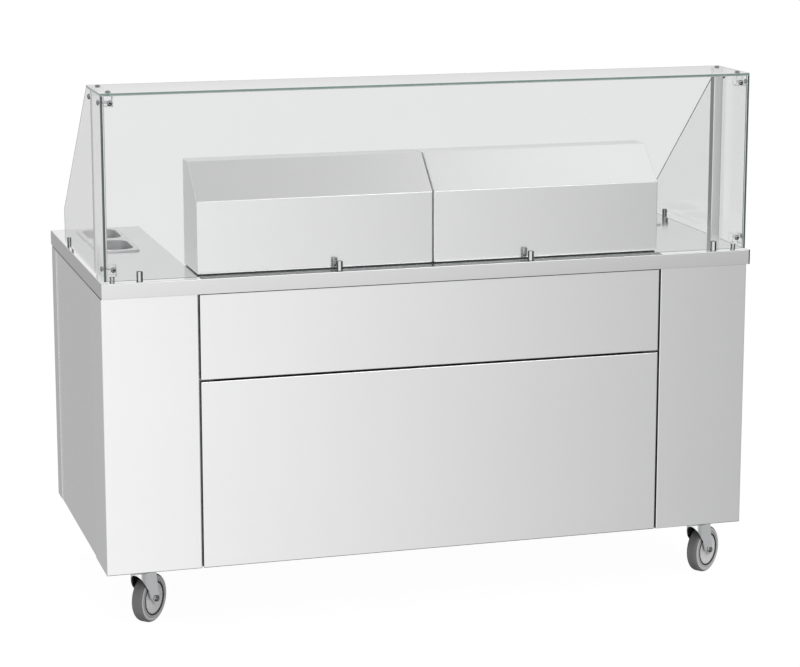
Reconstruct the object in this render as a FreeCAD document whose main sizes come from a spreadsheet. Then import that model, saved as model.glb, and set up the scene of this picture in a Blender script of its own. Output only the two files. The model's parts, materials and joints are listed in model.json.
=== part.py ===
import FreeCAD, Part
import math
import os
import re
import Sketcher

# Mobile front-cooking station: a stainless cabinet on castors with an open bay for tabletop
# cookers, two extraction hoods, a glass guard and food containers let into the worktop.
# Millimetres. X runs along the counter, -Y faces the guests, +Y the cook, Z = 0 is the floor.

SIZES = {
    # worktop and cabinet
    "station_width": 1700,
    "station_depth": 820,
    "worktop_height": 900,
    "lip_height": 38,
    "lip_round": 4,
    "sheet": 2,
    "side_block_width": 243,
    "front_overhang": 19,
    "back_overhang": 6,
    "side_overhang": 1,
    "panel_gap": 4,
    "panel_return": 16,
    "panel_round": 3,
    "seam_height": 640,
    "front_stile_width": 164,
    "rear_stile_width": 70,
    "stile_overlap": 20,
    "base_thickness": 4,
    "partition_flange": 40,
    # cooker bay
    "bay_front": 205,
    "shelf_height": 640,
    "shelf_lip": 30,
    # extraction hoods
    "hood_front": 44,
    "hood_bend_height": 182,
    "hood_height": 270,
    "hood_slope_depth": 97,
    "hood_flange": 20,
    "hood_bend_round": 3,
    "gasket_height": 6,
    "gasket_width": 12,
    "gasket_inset": 4,
    "window_inset": 13,
    "window_low": 30,
    "window_high": 250,
    "filter_clearance": 1,
    "filter_thickness": 16,
    "filter_frame": 15,
    "filter_slot": 12,
    "filter_pitch": 24,
    "air_slot_inset": 24,
    "air_slot_front": 30,
    "air_slot_depth": 100,
    # fans
    "fan_spread": 300,
    "fan_height": 390,
    "inlet_radius": 80,
    "impeller_radius": 100,
    "impeller_width": 90,
    "impeller_clearance": 4,
    "blade_count": 12,
    "blade_thickness": 2,
    "blade_inner_radius": 62,
    "blade_lean": 25,
    "hub_radius": 18,
    "hub_length": 26,
    "fan_shaft_radius": 6,
    "shaft_length": 70,
    "fan_plate": 260,
    "fan_plate_thickness": 3,
    "fan_plate_gap": 10,
    "fan_rod_radius": 5,
    "fan_rod_inset": 15,
    "fan_plate_bore": 20,
    "motor_radius": 55,
    "motor_length": 80,
    "motor_bore_depth": 62,
    "running_clearance": 0.05,
    # charcoal filters
    "charcoal_thickness": 40,
    "charcoal_top_gap": 20,
    "charcoal_inset": 20,
    "charcoal_door_gap": 14,
    "charcoal_frame": 24,
    "charcoal_recess": 8,
    # control panel
    "control_recess": 22,
    "control_height": 118,
    "control_line_drop": 73,
    "socket_pitch": 350,
    "socket_flange": 60,
    "socket_flange_thickness": 5,
    "socket_radius": 22,
    "socket_length": 32,
    "socket_recess_radius": 19.5,
    "socket_recess_depth": 15,
    "socket_pin_radius": 2.5,
    "socket_pin_spread": 9.5,
    "socket_pin_depth": 10,
    "hole_clearance": 0.5,
    "switch_inset": 49,
    "knob_pitch": 70,
    "knob_radius": 20,
    "knob_skirt": 3,
    "knob_grip_radius": 15,
    "knob_height": 15,
    "knob_shaft_radius": 4,
    "knob_shaft_length": 14,
    "knob_gap": 0.5,
    "pointer_width": 3,
    "pointer_height": 1,
    "switch_bar_width": 10,
    # doors
    "door_thickness": 18,
    "door_recess": 32,
    "door_gap": 3,
    "door_side_gap": 5,
    "door_clearance": 1,
    "hinge_inset": 19,
    "hinge_leaf": 4,
    "hinge_leaf_length": 38,
    "hinge_leaf_depth": 30,
    "hinge_pin_radius": 4,
    "hinge_pin_length": 14,
    "hinge_boss": 22,
    "louvre_count": 6,
    "louvre_width": 360,
    "louvre_height": 9,
    "louvre_pitch": 22,
    "louvre_low": 50,
    "handle_inset": 45,
    "handle_length": 160,
    "handle_radius": 6,
    "handle_post_radius": 5,
    "handle_standoff": 24,
    "handle_drop": 35,
    # food containers
    "pan_length": 176,
    "pan_width": 108,
    "pan_depth": 100,
    "pan_rim": 10,
    "pan_rim_round": 14,
    "pan_rim_height": 5,
    "pan_wall": 1,
    "pan_taper": 8,
    "pan_round": 28,
    "pan_gap": 3,
    "pan_pair_inset": 211.5,
    "cutout_clearance": 2,
    # glass guard
    "glass": 6,
    "glass_front": 14,
    "glass_side": 9,
    "glass_lift": 2,
    "glass_top": 459,
    "glass_top_depth": 200,
    "side_glass_depth": 607,
    "side_glass_rear_height": 90,
    "pane_gap": 0.5,
    "post_size": 25,
    "post_inset": 31,
    "post_depth": 172,
    "post_boss_radius": 7,
    "clamp_size": 28,
    "clamp_screw": 18,
    "low_clamp_height": 31,
    "clamp_stud_radius": 6,
    "screw_head_radius": 7,
    "screw_head_height": 4,
    "screw_shank_radius": 3,
    "screw_clearance": 0.2,
    "clip_radius": 8,
    "clip_height": 24,
    "clip_clearance": 0.2,
    "front_clip_inset": 97,
    "side_clip_depth": 548,
    # castors
    "castor_height": 161,
    "castor_inset": 95,
    "castor_front_inset": 77,
    "castor_trail": 43,
    "front_left_heading": 47,
    "front_right_heading": 36,
    "back_left_heading": 20,
    "back_right_heading": 162,
    "castor_plate_length": 105,
    "castor_plate_width": 85,
    "castor_plate_thickness": 4,
    "race_radius": 30,
    "race_height": 8,
    "kingpin_radius": 6,
    "kingpin_head_radius": 12,
    "kingpin_head": 4,
    "swivel_gap": 0.4,
    "fork_crown_radius": 35,
    "fork_crown": 4,
    "fork_inner_width": 38,
    "fork_leg": 3,
    "fork_leg_top": 43,
    "fork_leg_end": 15,
    "fork_leg_round": 13,
    "fork_side_drop": 43.5,
    "fork_front_drop": 15,
    "wheel_radius": 62.5,
    "tyre_width": 32,
    "tyre_round": 9,
    "rim_radius": 47,
    "hub_width": 36,
    "wheel_hub_radius": 15,
    "wheel_web": 26,
    "rim_wall": 5,
    "axle_radius": 5,
    "axle_head_radius": 9,
    "axle_head": 6,
    "brake_pivot_reach": 21,
    "brake_pivot_height": 69,
    "brake_lug": 8,
    "brake_pin_radius": 3,
    "brake_sleeve_radius": 5,
    "brake_width": 36,
    "brake_length": 62,
    "brake_drop": 10,
    "brake_plate": 4,
    "brake_shoe_reach": 13,
    "brake_shoe_length": 12,
    "brake_shoe_height": 9,
    # mains inlet
    "gland_place": 500,
    "gland_depth": 250,
    "gland_nut_radius": 14,
    "gland_nut": 8,
    "gland_dome_radius": 11,
    "gland_tip_radius": 8,
    "gland_dome": 14,
    "gland_bore": 6,
}

doc = FreeCAD.newDocument("cooking_station")
sheet = doc.addObject("Spreadsheet::Sheet", "Size")
for row, (alias, value) in enumerate(SIZES.items(), start=1):
    sheet.set(f"A{row}", str(value))
    sheet.setAlias(f"A{row}", alias)
doc.recompute()

# Places that many pieces share, worked out from the sizes.
HALF = "(station_width / 2)"
FRONT = "(-station_depth / 2)"
BACK = "(station_depth / 2)"
CABINET_FRONT = f"({FRONT} + front_overhang)"
CABINET_BACK = f"({BACK} - back_overhang)"
CABINET_SIDE = f"({HALF} - side_overhang)"
PANEL_BACK = f"({CABINET_FRONT} + sheet + panel_return)"
REAR_SHEET = f"({CABINET_BACK} - sheet)"
FLOOR_TOP = "(castor_height + base_thickness)"
LIP_BOTTOM = "(worktop_height - lip_height)"
PANEL_TOP = f"({LIP_BOTTOM} - panel_gap)"
TOP_UNDER = "(worktop_height - sheet)"
BLOCK_EDGE = f"({HALF} - side_block_width)"
BAY_SIDE = f"({BLOCK_EDGE} + sheet)"
BAY_FRONT = f"({FRONT} + bay_front)"
SHELF_UNDER = "(shelf_height - sheet)"
HOOD_FRONT = f"({FRONT} + hood_front)"
HOOD_FOOT = "(worktop_height + gasket_height)"
HOOD_TOP = "(worktop_height + hood_height)"
HOOD_WIDTH = f"({BLOCK_EDGE} - panel_gap)"
HOOD_MIDDLE = f"({BLOCK_EDGE} / 2)"
WINDOW_WIDTH = f"({HOOD_WIDTH} - 2 * window_inset)"
WINDOW_LOW = "(worktop_height + window_low)"
WINDOW_HIGH = "(worktop_height + window_high)"
PLENUM_BACK = f"({BAY_FRONT} - sheet)"
CONTROL_BACK = f"({CABINET_BACK} - control_recess)"
CONTROL_LOW = f"({SHELF_UNDER} - control_height)"
CONTROL_LINE = f"({SHELF_UNDER} - control_line_drop)"
SWITCH_X = f"({BAY_SIDE} - switch_inset)"
KNOB_X = f"({SWITCH_X} - knob_pitch)"
DOOR_BACK = f"({CABINET_BACK} - door_recess)"
DOOR_FRONT = f"({DOOR_BACK} - door_thickness)"
DOOR_LOW = f"({FLOOR_TOP} + hinge_leaf + door_clearance)"
DOOR_HIGH = f"({CONTROL_LOW} - hinge_leaf - door_clearance)"
HINGE_X = f"({BAY_SIDE} - hinge_inset)"
HINGE_Y = f"({DOOR_BACK} - door_thickness / 2)"
GLASS_FRONT = f"({FRONT} + glass_front)"
GLASS_SIDE = f"({HALF} - glass_side)"
GLASS_FOOT = "(worktop_height + glass_lift)"
GLASS_TOP = "(worktop_height + glass_top)"
GLASS_UNDER = f"({GLASS_TOP} - glass)"
POST_X = f"({HALF} - post_inset)"
POST_Y = f"({FRONT} + post_depth)"
CLAMP_X = f"({GLASS_SIDE} - glass - clamp_screw)"
CLAMP_Y = f"({GLASS_FRONT} + glass + clamp_screw)"
HIGH_CLAMP_Z = f"({GLASS_UNDER} - clamp_screw)"
LOW_CLAMP_Z = "(worktop_height + low_clamp_height)"
CASTOR_X = f"({HALF} - castor_inset)"
CASTOR_FRONT_Y = f"({CABINET_FRONT} + castor_front_inset)"
CASTOR_BACK_Y = f"({CABINET_BACK} - castor_front_inset)"
RACE_LOW = "(castor_height - castor_plate_thickness - race_height)"
CROWN_TOP = f"({RACE_LOW} - swivel_gap)"
CROWN_LOW = f"({CROWN_TOP} - fork_crown)"
FORK_INNER = "(fork_inner_width / 2)"
FORK_OUTER = "(fork_inner_width / 2 + fork_leg)"
FORK_ROUND = f"(0.9 * {FORK_OUTER})"
LEFT = -1
RIGHT = 1
SIDES = {"left": LEFT, "right": RIGHT}

nodes = []


def bound(text):
    """The expression with every size in it read from the sheet."""
    return re.sub(r"[a-z_]\w*", lambda word: sheet_word(word.group(0)), str(text))


def sheet_word(word):
    """A size's full name, or the word itself where it is a function."""
    return f"Size.{word}" if word in SIZES else word


def number(text):
    """The present value of an expression."""
    return float(sheet.evalExpression(bound(text)))


def node(obj, label):
    """Give a finished sub-part its name and list it for export."""
    obj.Label = label
    nodes.append(obj)
    return obj


def span(side, inner, outer):
    """The low and high X of something that lies between two distances from the middle."""
    return (inner, outer) if side == RIGHT else (f"-({outer})", f"-({inner})")


def block(name, x, y, z):
    """Box between a low and a high place on each axis."""
    box = doc.addObject("Part::Box", name)
    for size, axis, (low, high) in zip(("Length", "Width", "Height"), "xyz", (x, y, z)):
        box.setExpression(size, bound(f"({high}) - ({low})"))
        box.setExpression(f"Placement.Base.{axis}", bound(low))
    return box


AXIS_TURNS = {
    "x": FreeCAD.Rotation(FreeCAD.Vector(0, 1, 0), 90),
    "y": FreeCAD.Rotation(FreeCAD.Vector(1, 0, 0), -90),
    "z": FreeCAD.Rotation(),
}


def put(obj, x, y, z, turn=FreeCAD.Rotation()):
    """Place an object, with its position bound to the sheet."""
    obj.Placement = FreeCAD.Placement(FreeCAD.Vector(), turn)
    for axis, text in zip("xyz", (x, y, z)):
        obj.setExpression(f"Placement.Base.{axis}", bound(text))
    return obj


def rod(name, axis, radius, x, y, z):
    """Cylinder along one axis: that axis has a low and a high place, the others a centre."""
    cylinder = doc.addObject("Part::Cylinder", name)
    places = dict(zip("xyz", (x, y, z)))
    low, high = places[axis]
    places[axis] = low
    cylinder.setExpression("Radius", bound(radius))
    cylinder.setExpression("Height", bound(f"({high}) - ({low})"))
    return put(cylinder, places["x"], places["y"], places["z"], AXIS_TURNS[axis])


def joined(name, *pieces):
    """One solid from pieces that meet."""
    fuse = doc.addObject("Part::MultiFuse", name)
    fuse.Shapes = list(pieces)
    fuse.Refine = True
    return fuse


def less(name, base, *tools):
    """A piece with every tool cut out of it."""
    cut = doc.addObject("Part::Cut", name)
    cut.Base = base
    cut.Tool = tools[0] if len(tools) == 1 else joined(f"{name}_cuts", *tools)
    return cut


def group(label, pieces):
    """Like pieces that share one node, each a solid of its own."""
    compound = doc.addObject("Part::Compound", label)
    compound.Links = list(pieces)
    return node(compound, label)


def sketch_on(body, plane, name, offset="0"):
    """Sketch on one of the body's own planes, moved along the plane's normal."""
    sketch = body.newObject("Sketcher::SketchObject", name)
    support = next(item for item in body.Origin.OriginFeatures if item.Role == plane)
    sketch.AttachmentSupport = (support, [""])
    sketch.MapMode = "FlatFace"
    sketch.setExpression("AttachmentOffset.Base.z", bound(offset))
    return sketch


def pin_down(sketch, geometry, point, u, v):
    """Hold a sketch point at a bound distance from the sketch's origin."""
    for kind, text in (("DistanceX", u), ("DistanceY", v)):
        index = sketch.addConstraint(Sketcher.Constraint(kind, -1, 1, geometry, point, number(text)))
        sketch.setExpression(f"Constraints[{index}]", bound(text))


def round_corner(sketch, spot, stop, start, lines, corner):
    """Arc between two lines, with the sharp corner kept as a construction point."""
    into, out = lines
    radius = number(corner[2])
    bisector = (stop - spot).normalize() + (start - spot).normalize()
    half_turn = (stop - spot).getAngle(start - spot) / 2
    centre = spot + bisector.normalize() * (radius / math.sin(half_turn))
    middle = centre + (spot - centre).normalize() * radius
    arc = sketch.addGeometry(Part.Arc(stop, middle, start))
    forward = (sketch.getPoint(arc, 1) - stop).Length < (sketch.getPoint(arc, 2) - stop).Length
    first, last = (1, 2) if forward else (2, 1)
    sketch.addConstraint(Sketcher.Constraint("Tangent", into, 2, arc, first))
    sketch.addConstraint(Sketcher.Constraint("Tangent", arc, last, out, 1))
    index = sketch.addConstraint(Sketcher.Constraint("Radius", arc, radius))
    sketch.setExpression(f"Constraints[{index}]", bound(corner[2]))
    point = sketch.addGeometry(Part.Point(spot), True)
    sketch.addConstraint(Sketcher.Constraint("PointOnObject", point, 1, into))
    sketch.addConstraint(Sketcher.Constraint("PointOnObject", point, 1, out))
    return point


def outline(sketch, corners):
    """Closed outline through corners (u, v) or (u, v, radius), each bound to the sheet."""
    spots = [FreeCAD.Vector(number(corner[0]), number(corner[1]), 0) for corner in corners]
    stops = []
    starts = []
    for place, spot in enumerate(spots):
        back = (spots[place - 1] - spot).normalize()
        onward = (spots[(place + 1) % len(spots)] - spot).normalize()
        rounded = len(corners[place]) > 2
        cutback = number(corners[place][2]) / math.tan(back.getAngle(onward) / 2) if rounded else 0
        stops.append(spot + back * cutback)
        starts.append(spot + onward * cutback)
    ends = stops[1:] + stops[:1]
    lines = [sketch.addGeometry(Part.LineSegment(*pair)) for pair in zip(starts, ends)]
    for place, corner in enumerate(corners):
        pair = (lines[place - 1], lines[place])
        if len(corner) > 2:
            anchor = round_corner(sketch, spots[place], stops[place], starts[place], pair, corner)
        else:
            sketch.addConstraint(Sketcher.Constraint("Coincident", pair[0], 2, pair[1], 1))
            anchor = pair[1]
        pin_down(sketch, anchor, 1, corner[0], corner[1])


def circle(sketch, u, v, radius):
    """Circle with its centre and radius bound to the sheet."""
    centre = FreeCAD.Vector(number(u), number(v), 0)
    ring = sketch.addGeometry(Part.Circle(centre, FreeCAD.Vector(0, 0, 1), number(radius)))
    pin_down(sketch, ring, 3, u, v)
    index = sketch.addConstraint(Sketcher.Constraint("Radius", ring, number(radius)))
    sketch.setExpression(f"Constraints[{index}]", bound(radius))


def rectangle(low_u, high_u, low_v, high_v, radius=None):
    """Corners of an upright rectangle, rounded where a radius is given."""
    corners = [(low_u, low_v), (high_u, low_v), (high_u, high_v), (low_u, high_v)]
    return [corner + (radius,) for corner in corners] if radius else corners


def feature(body, kind, sketch, length=None, reverse=False, both_ways=False):
    """Pad, pocket or revolution of a sketch in its body."""
    made = body.newObject(f"PartDesign::{kind}", f"{sketch.Name}_{kind.lower()}")
    made.Profile = sketch
    made.Reversed = reverse
    if length is not None:
        made.Midplane = both_ways
        made.setExpression("Length", bound(length))
    sketch.Visibility = False
    return made


def new_body(name):
    return doc.addObject("PartDesign::Body", name)


def prism(name, plane, corners, offset, length, reverse=False, both_ways=False):
    """Body with one padded outline."""
    body = new_body(name)
    sketch = sketch_on(body, plane, f"{name}_outline", offset)
    outline(sketch, corners)
    feature(body, "Pad", sketch, length, reverse, both_ways)
    return body


def turned(name, corners):
    """Body turned about its own X axis from an outline of (along, radius) corners."""
    body = new_body(name)
    sketch = sketch_on(body, "XY_Plane", f"{name}_profile")
    outline(sketch, corners)
    made = feature(body, "Revolution", sketch)
    made.ReferenceAxis = (sketch, ["H_Axis"])
    made.Angle = 360
    return body


# Cabinet


def base_plate():
    edge = f"({CABINET_SIDE} - 2 * sheet)"
    z = ("castor_height", FLOOR_TOP)
    plate = block("base_plate_sheet", (f"-{edge}", edge), (PANEL_BACK, REAR_SHEET), z)
    cord_hole = rod("cord_hole", "z", "gland_bore", "-gland_place", "gland_depth", z)
    node(less("base_plate", plate, cord_hole), "base_plate")


def corner_panel(word, side):
    """Front panel of an end block: folded round the corner into the side's front stile."""
    name = f"{word}_front_panel"
    inner = f"({BLOCK_EDGE} + panel_gap / 2)"
    skin_back = f"({CABINET_FRONT} + sheet)"
    stile_back = f"({CABINET_FRONT} + front_stile_width)"
    profile = [
        (inner, CABINET_FRONT),
        (CABINET_SIDE, CABINET_FRONT, "panel_round"),
        (CABINET_SIDE, stile_back),
        (f"({CABINET_SIDE} - sheet)", stile_back),
        (f"({CABINET_SIDE} - sheet)", skin_back, "panel_round - sheet"),
        (f"({inner} + sheet)", skin_back),
        (f"({inner} + sheet)", PANEL_BACK),
        (inner, PANEL_BACK),
    ]
    profile = [(f"{side} * {corner[0]}",) + corner[1:] for corner in profile]
    skin = prism(f"{name}_skin", "XY_Plane", profile, "castor_height", f"{PANEL_TOP} - castor_height")
    fold_x = span(side, f"{inner} + sheet", f"{CABINET_SIDE} - sheet - panel_round")
    fold_z = ("castor_height", "castor_height + sheet")
    fold = block(f"{name}_fold", fold_x, (skin_back, PANEL_BACK), fold_z)
    node(joined(name, skin, fold), name)


def centre_panel(name, low, high):
    """Shallow tray between the end blocks, its folds turned inwards."""
    edge = f"({BLOCK_EDGE} - panel_gap / 2)"
    outer = block(f"{name}_outer", (f"-{edge}", edge), (CABINET_FRONT, PANEL_BACK), (low, high))
    inner_edge = f"({edge} - sheet)"
    inner = block(
        f"{name}_inner",
        (f"-{inner_edge}", inner_edge),
        (f"{CABINET_FRONT} + sheet", PANEL_BACK),
        (f"{low} + sheet", f"{high} - sheet"),
    )
    node(less(name, outer, inner), name)


def side_panel(word, side):
    """Middle sheet of an end wall, tucked behind the front and rear stiles."""
    outer = f"({CABINET_SIDE} - sheet)"
    low_y = f"{CABINET_FRONT} + front_stile_width - stile_overlap"
    high_y = f"{CABINET_BACK} - rear_stile_width + stile_overlap"
    x = span(side, f"{outer} - sheet", outer)
    return block(f"{word}_side_panel", x, (low_y, high_y), ("castor_height", PANEL_TOP))


def rear_panel(word, side):
    """Cook's-side panel of an end block, folded round into the side's rear stile."""
    name = f"{word}_rear_panel"
    profile = [
        (BAY_SIDE, REAR_SHEET),
        (f"({CABINET_SIDE} - sheet)", REAR_SHEET, "panel_round - sheet"),
        (f"({CABINET_SIDE} - sheet)", f"({CABINET_BACK} - rear_stile_width)"),
        (CABINET_SIDE, f"({CABINET_BACK} - rear_stile_width)"),
        (CABINET_SIDE, CABINET_BACK, "panel_round"),
        (BAY_SIDE, CABINET_BACK),
    ]
    profile = [(f"{side} * {corner[0]}",) + corner[1:] for corner in profile]
    node(prism(name, "XY_Plane", profile, "castor_height", f"{PANEL_TOP} - castor_height"), name)


def partition(word, side):
    """Wall between an end block and the cooker bay, its front edge folded to carry the panels."""
    name = f"{word}_partition"
    fold_back = f"({PANEL_BACK} + sheet)"
    profile = [
        (f"({BAY_SIDE} + sheet)", PANEL_BACK),
        (f"({BAY_SIDE} + sheet)", REAR_SHEET),
        (BAY_SIDE, REAR_SHEET),
        (BAY_SIDE, fold_back),
        (f"({BAY_SIDE} - partition_flange)", fold_back),
        (f"({BAY_SIDE} - partition_flange)", PANEL_BACK),
    ]
    profile = [(f"{side} * {corner[0]}", corner[1]) for corner in profile]
    node(prism(name, "XY_Plane", profile, FLOOR_TOP, f"{TOP_UNDER} - {FLOOR_TOP}"), name)


def plenum_wall():
    """Front wall of the bay, down to the base plate, with an inlet for each fan."""
    y = (f"{PLENUM_BACK} - sheet", PLENUM_BACK)
    wall = block("plenum_sheet", (f"-{BAY_SIDE}", BAY_SIDE), y, (FLOOR_TOP, TOP_UNDER))
    inlets = [
        rod(f"{word}_inlet", "y", "inlet_radius", f"{side} * fan_spread", y, "fan_height")
        for word, side in SIDES.items()
    ]
    node(less("plenum_wall", wall, *inlets), "plenum_wall")


def bay_shelf():
    """Floor of the cooker bay, its rear edge folded down over the control panel."""
    profile = [
        (PLENUM_BACK, SHELF_UNDER),
        (f"({REAR_SHEET} - sheet)", SHELF_UNDER),
        (f"({REAR_SHEET} - sheet)", "(shelf_height - shelf_lip)"),
        (REAR_SHEET, "(shelf_height - shelf_lip)"),
        (REAR_SHEET, "shelf_height"),
        (PLENUM_BACK, "shelf_height"),
    ]
    node(prism("bay_shelf", "YZ_Plane", profile, "0", f"2 * {BAY_SIDE}", both_ways=True), "bay_shelf")


def pan_places():
    """Name, side and centre of each food container along the counter's depth."""
    pitch = "(pan_length + pan_gap)"
    pair = f"({BACK} - pan_pair_inset)"
    for word, side in SIDES.items():
        yield f"{word}_front_pan", side, f"({pair} - {pitch} / 2)"
        yield f"{word}_rear_pan", side, f"({pair} + {pitch} / 2)"


PAN_X = f"({HALF} - side_block_width / 2)"


def pan_rectangle(side, y, inset, radius):
    """Rounded rectangle inside a container's rim."""
    half_x = f"(pan_width / 2 - ({inset}))"
    half_y = f"(pan_length / 2 - ({inset}))"
    x = f"({side} * {PAN_X})"
    return rectangle(f"{x} - {half_x}", f"{x} + {half_x}", f"{y} - {half_y}", f"{y} + {half_y}", radius)


def worktop():
    """U-shaped top with folded lips, open to the cook over the bay: a front section and two ends, welded."""
    body = new_body("worktop_sheet")
    rim = [
        (f"-{HALF}", FRONT, "lip_round"),
        (HALF, FRONT, "lip_round"),
        (HALF, BACK, "lip_round"),
        (BLOCK_EDGE, BACK),
        (BLOCK_EDGE, BAY_FRONT),
        (f"-{BLOCK_EDGE}", BAY_FRONT),
        (f"-{BLOCK_EDGE}", BACK),
        (f"-{HALF}", BACK, "lip_round"),
    ]
    under_half = f"({HALF} - sheet)"
    under = [
        (f"-{under_half}", f"({FRONT} + sheet)", "lip_round - sheet"),
        (under_half, f"({FRONT} + sheet)", "lip_round - sheet"),
        (under_half, f"({BACK} - sheet)", "lip_round - sheet"),
        (BAY_SIDE, f"({BACK} - sheet)"),
        (BAY_SIDE, PLENUM_BACK),
        (f"-{BAY_SIDE}", PLENUM_BACK),
        (f"-{BAY_SIDE}", f"({BACK} - sheet)"),
        (f"-{under_half}", f"({BACK} - sheet)", "lip_round - sheet"),
    ]
    top = sketch_on(body, "XY_Plane", "worktop_rim", LIP_BOTTOM)
    outline(top, rim)
    feature(body, "Pad", top, "lip_height")
    hollow = sketch_on(body, "XY_Plane", "worktop_hollow", LIP_BOTTOM)
    outline(hollow, under)
    feature(body, "Pocket", hollow, "lip_height - sheet", reverse=True)
    holes = sketch_on(body, "XY_Plane", "worktop_cutouts", "worktop_height")
    for _, side, y in pan_places():
        outline(holes, pan_rectangle(side, y, "pan_rim - cutout_clearance", "pan_round + cutout_clearance"))
    slot_y = (f"{HOOD_FRONT} + air_slot_front", f"{HOOD_FRONT} + air_slot_front + air_slot_depth")
    for side in SIDES.values():
        slot_x = span(side, "air_slot_inset", f"{BLOCK_EDGE} - air_slot_inset")
        outline(holes, rectangle(*slot_x, *slot_y))
    feature(body, "Pocket", holes, "sheet")
    height = (LIP_BOTTOM, "worktop_height")
    places = {"front": ((f"-{HALF}", HALF), (FRONT, BAY_FRONT))}
    for word, side in SIDES.items():
        places[word] = (span(side, BLOCK_EDGE, HALF), (BAY_FRONT, BACK))
    sections = []
    for word, (x, y) in places.items():
        section = doc.addObject("Part::Common", f"{word}_section")
        section.Base = body
        section.Tool = block(f"{word}_section_place", x, y, height)
        sections.append(section)
    group("worktop", sections)


# Food containers


def food_pan(name, side, y):
    """Tapered container that stands in the worktop on its turned-down rim."""
    body = new_body(name)
    rim = sketch_on(body, "XY_Plane", f"{name}_rim", "worktop_height")
    outline(rim, pan_rectangle(side, y, "0", "pan_rim_round"))
    feature(body, "Pad", rim, "pan_rim_height")
    under = sketch_on(body, "XY_Plane", f"{name}_rim_under", "worktop_height")
    outline(under, pan_rectangle(side, y, "pan_wall", "pan_rim_round - pan_wall"))
    feature(body, "Pocket", under, "pan_rim_height - pan_wall", reverse=True)
    shells = (
        ("AdditiveLoft", "pan_rim", "worktop_height - pan_depth"),
        ("SubtractiveLoft", "pan_rim + pan_wall", "worktop_height - pan_depth + pan_wall"),
    )
    for kind, inset, low in shells:
        mouth = sketch_on(body, "XY_Plane", f"{name}_{kind}_mouth", "worktop_height + pan_rim_height")
        outline(mouth, pan_rectangle(side, y, inset, "pan_round"))
        foot = sketch_on(body, "XY_Plane", f"{name}_{kind}_foot", low)
        outline(foot, pan_rectangle(side, y, f"{inset} + pan_taper", "pan_round"))
        loft = body.newObject(f"PartDesign::{kind}", f"{name}_{kind}")
        loft.Profile = mouth
        loft.Sections = [foot]
        loft.Ruled = True
    node(body, name)


# Extraction hoods


def hood(word, side):
    """Folded hood shell: open underneath over the air slot and behind for the grease filter."""
    name = f"{word}_hood"
    bend = "(worktop_height + hood_bend_height)"
    ridge = f"({HOOD_FRONT} + hood_slope_depth)"
    body = new_body(name)
    put(body, f"{side} * {HOOD_MIDDLE}", "0", "0")
    skin = sketch_on(body, "YZ_Plane", f"{name}_skin")
    outline(
        skin,
        [
            (HOOD_FRONT, HOOD_FOOT),
            (BAY_FRONT, HOOD_FOOT),
            (BAY_FRONT, HOOD_TOP),
            (ridge, HOOD_TOP, "hood_bend_round"),
            (HOOD_FRONT, bend, "hood_bend_round"),
        ],
    )
    feature(body, "Pad", skin, HOOD_WIDTH, both_ways=True)
    hollow = sketch_on(body, "YZ_Plane", f"{name}_hollow")
    slope = "atan2(hood_height - hood_bend_height; hood_slope_depth)"
    outline(
        hollow,
        [
            (f"{HOOD_FRONT} + sheet", f"{HOOD_FOOT} + sheet"),
            (PLENUM_BACK, f"{HOOD_FOOT} + sheet"),
            (PLENUM_BACK, f"{HOOD_TOP} - sheet"),
            (f"{ridge} + sheet * tan({slope} / 2)", f"{HOOD_TOP} - sheet"),
            (f"{HOOD_FRONT} + sheet", f"{bend} - sheet * tan(45 deg - {slope} / 2)"),
        ],
    )
    feature(body, "Pocket", hollow, f"{HOOD_WIDTH} - 2 * sheet", both_ways=True)
    mouth = sketch_on(body, "XY_Plane", f"{name}_mouth", HOOD_FOOT)
    mouth_x = f"({HOOD_WIDTH} / 2 - hood_flange)"
    mouth_y = (f"{HOOD_FRONT} + hood_flange", f"{BAY_FRONT} - hood_flange")
    outline(mouth, rectangle(f"-{mouth_x}", mouth_x, *mouth_y))
    feature(body, "Pocket", mouth, "sheet", reverse=True)
    window = sketch_on(body, "XZ_Plane", f"{name}_window", f"-{BAY_FRONT}")
    window_x = f"({WINDOW_WIDTH} / 2)"
    outline(window, rectangle(f"-{window_x}", window_x, WINDOW_LOW, WINDOW_HIGH))
    feature(body, "Pocket", window, "sheet", reverse=True)
    sill = sketch_on(body, "YZ_Plane", f"{name}_sill")
    sill_y = (f"{PLENUM_BACK} - filter_thickness", PLENUM_BACK)
    outline(sill, rectangle(*sill_y, f"{WINDOW_LOW} - sheet", WINDOW_LOW))
    feature(body, "Pad", sill, WINDOW_WIDTH, both_ways=True)
    node(body, name)


def hood_gasket(word, side):
    """Black seal frame that a hood stands on."""
    x = (f"{side} * {HOOD_MIDDLE} - {HOOD_WIDTH} / 2", f"{side} * {HOOD_MIDDLE} + {HOOD_WIDTH} / 2")
    y = (HOOD_FRONT, BAY_FRONT)
    z = ("worktop_height", HOOD_FOOT)
    frames = []
    for part, inset in (("outer", "gasket_inset"), ("inner", "(gasket_inset + gasket_width)")):
        sizes = [(f"{low} + {inset}", f"{high} - {inset}") for low, high in (x, y)]
        frames.append(block(f"{word}_gasket_{part}", *sizes, z))
    return less(f"{word}_gasket", *frames)


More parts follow.
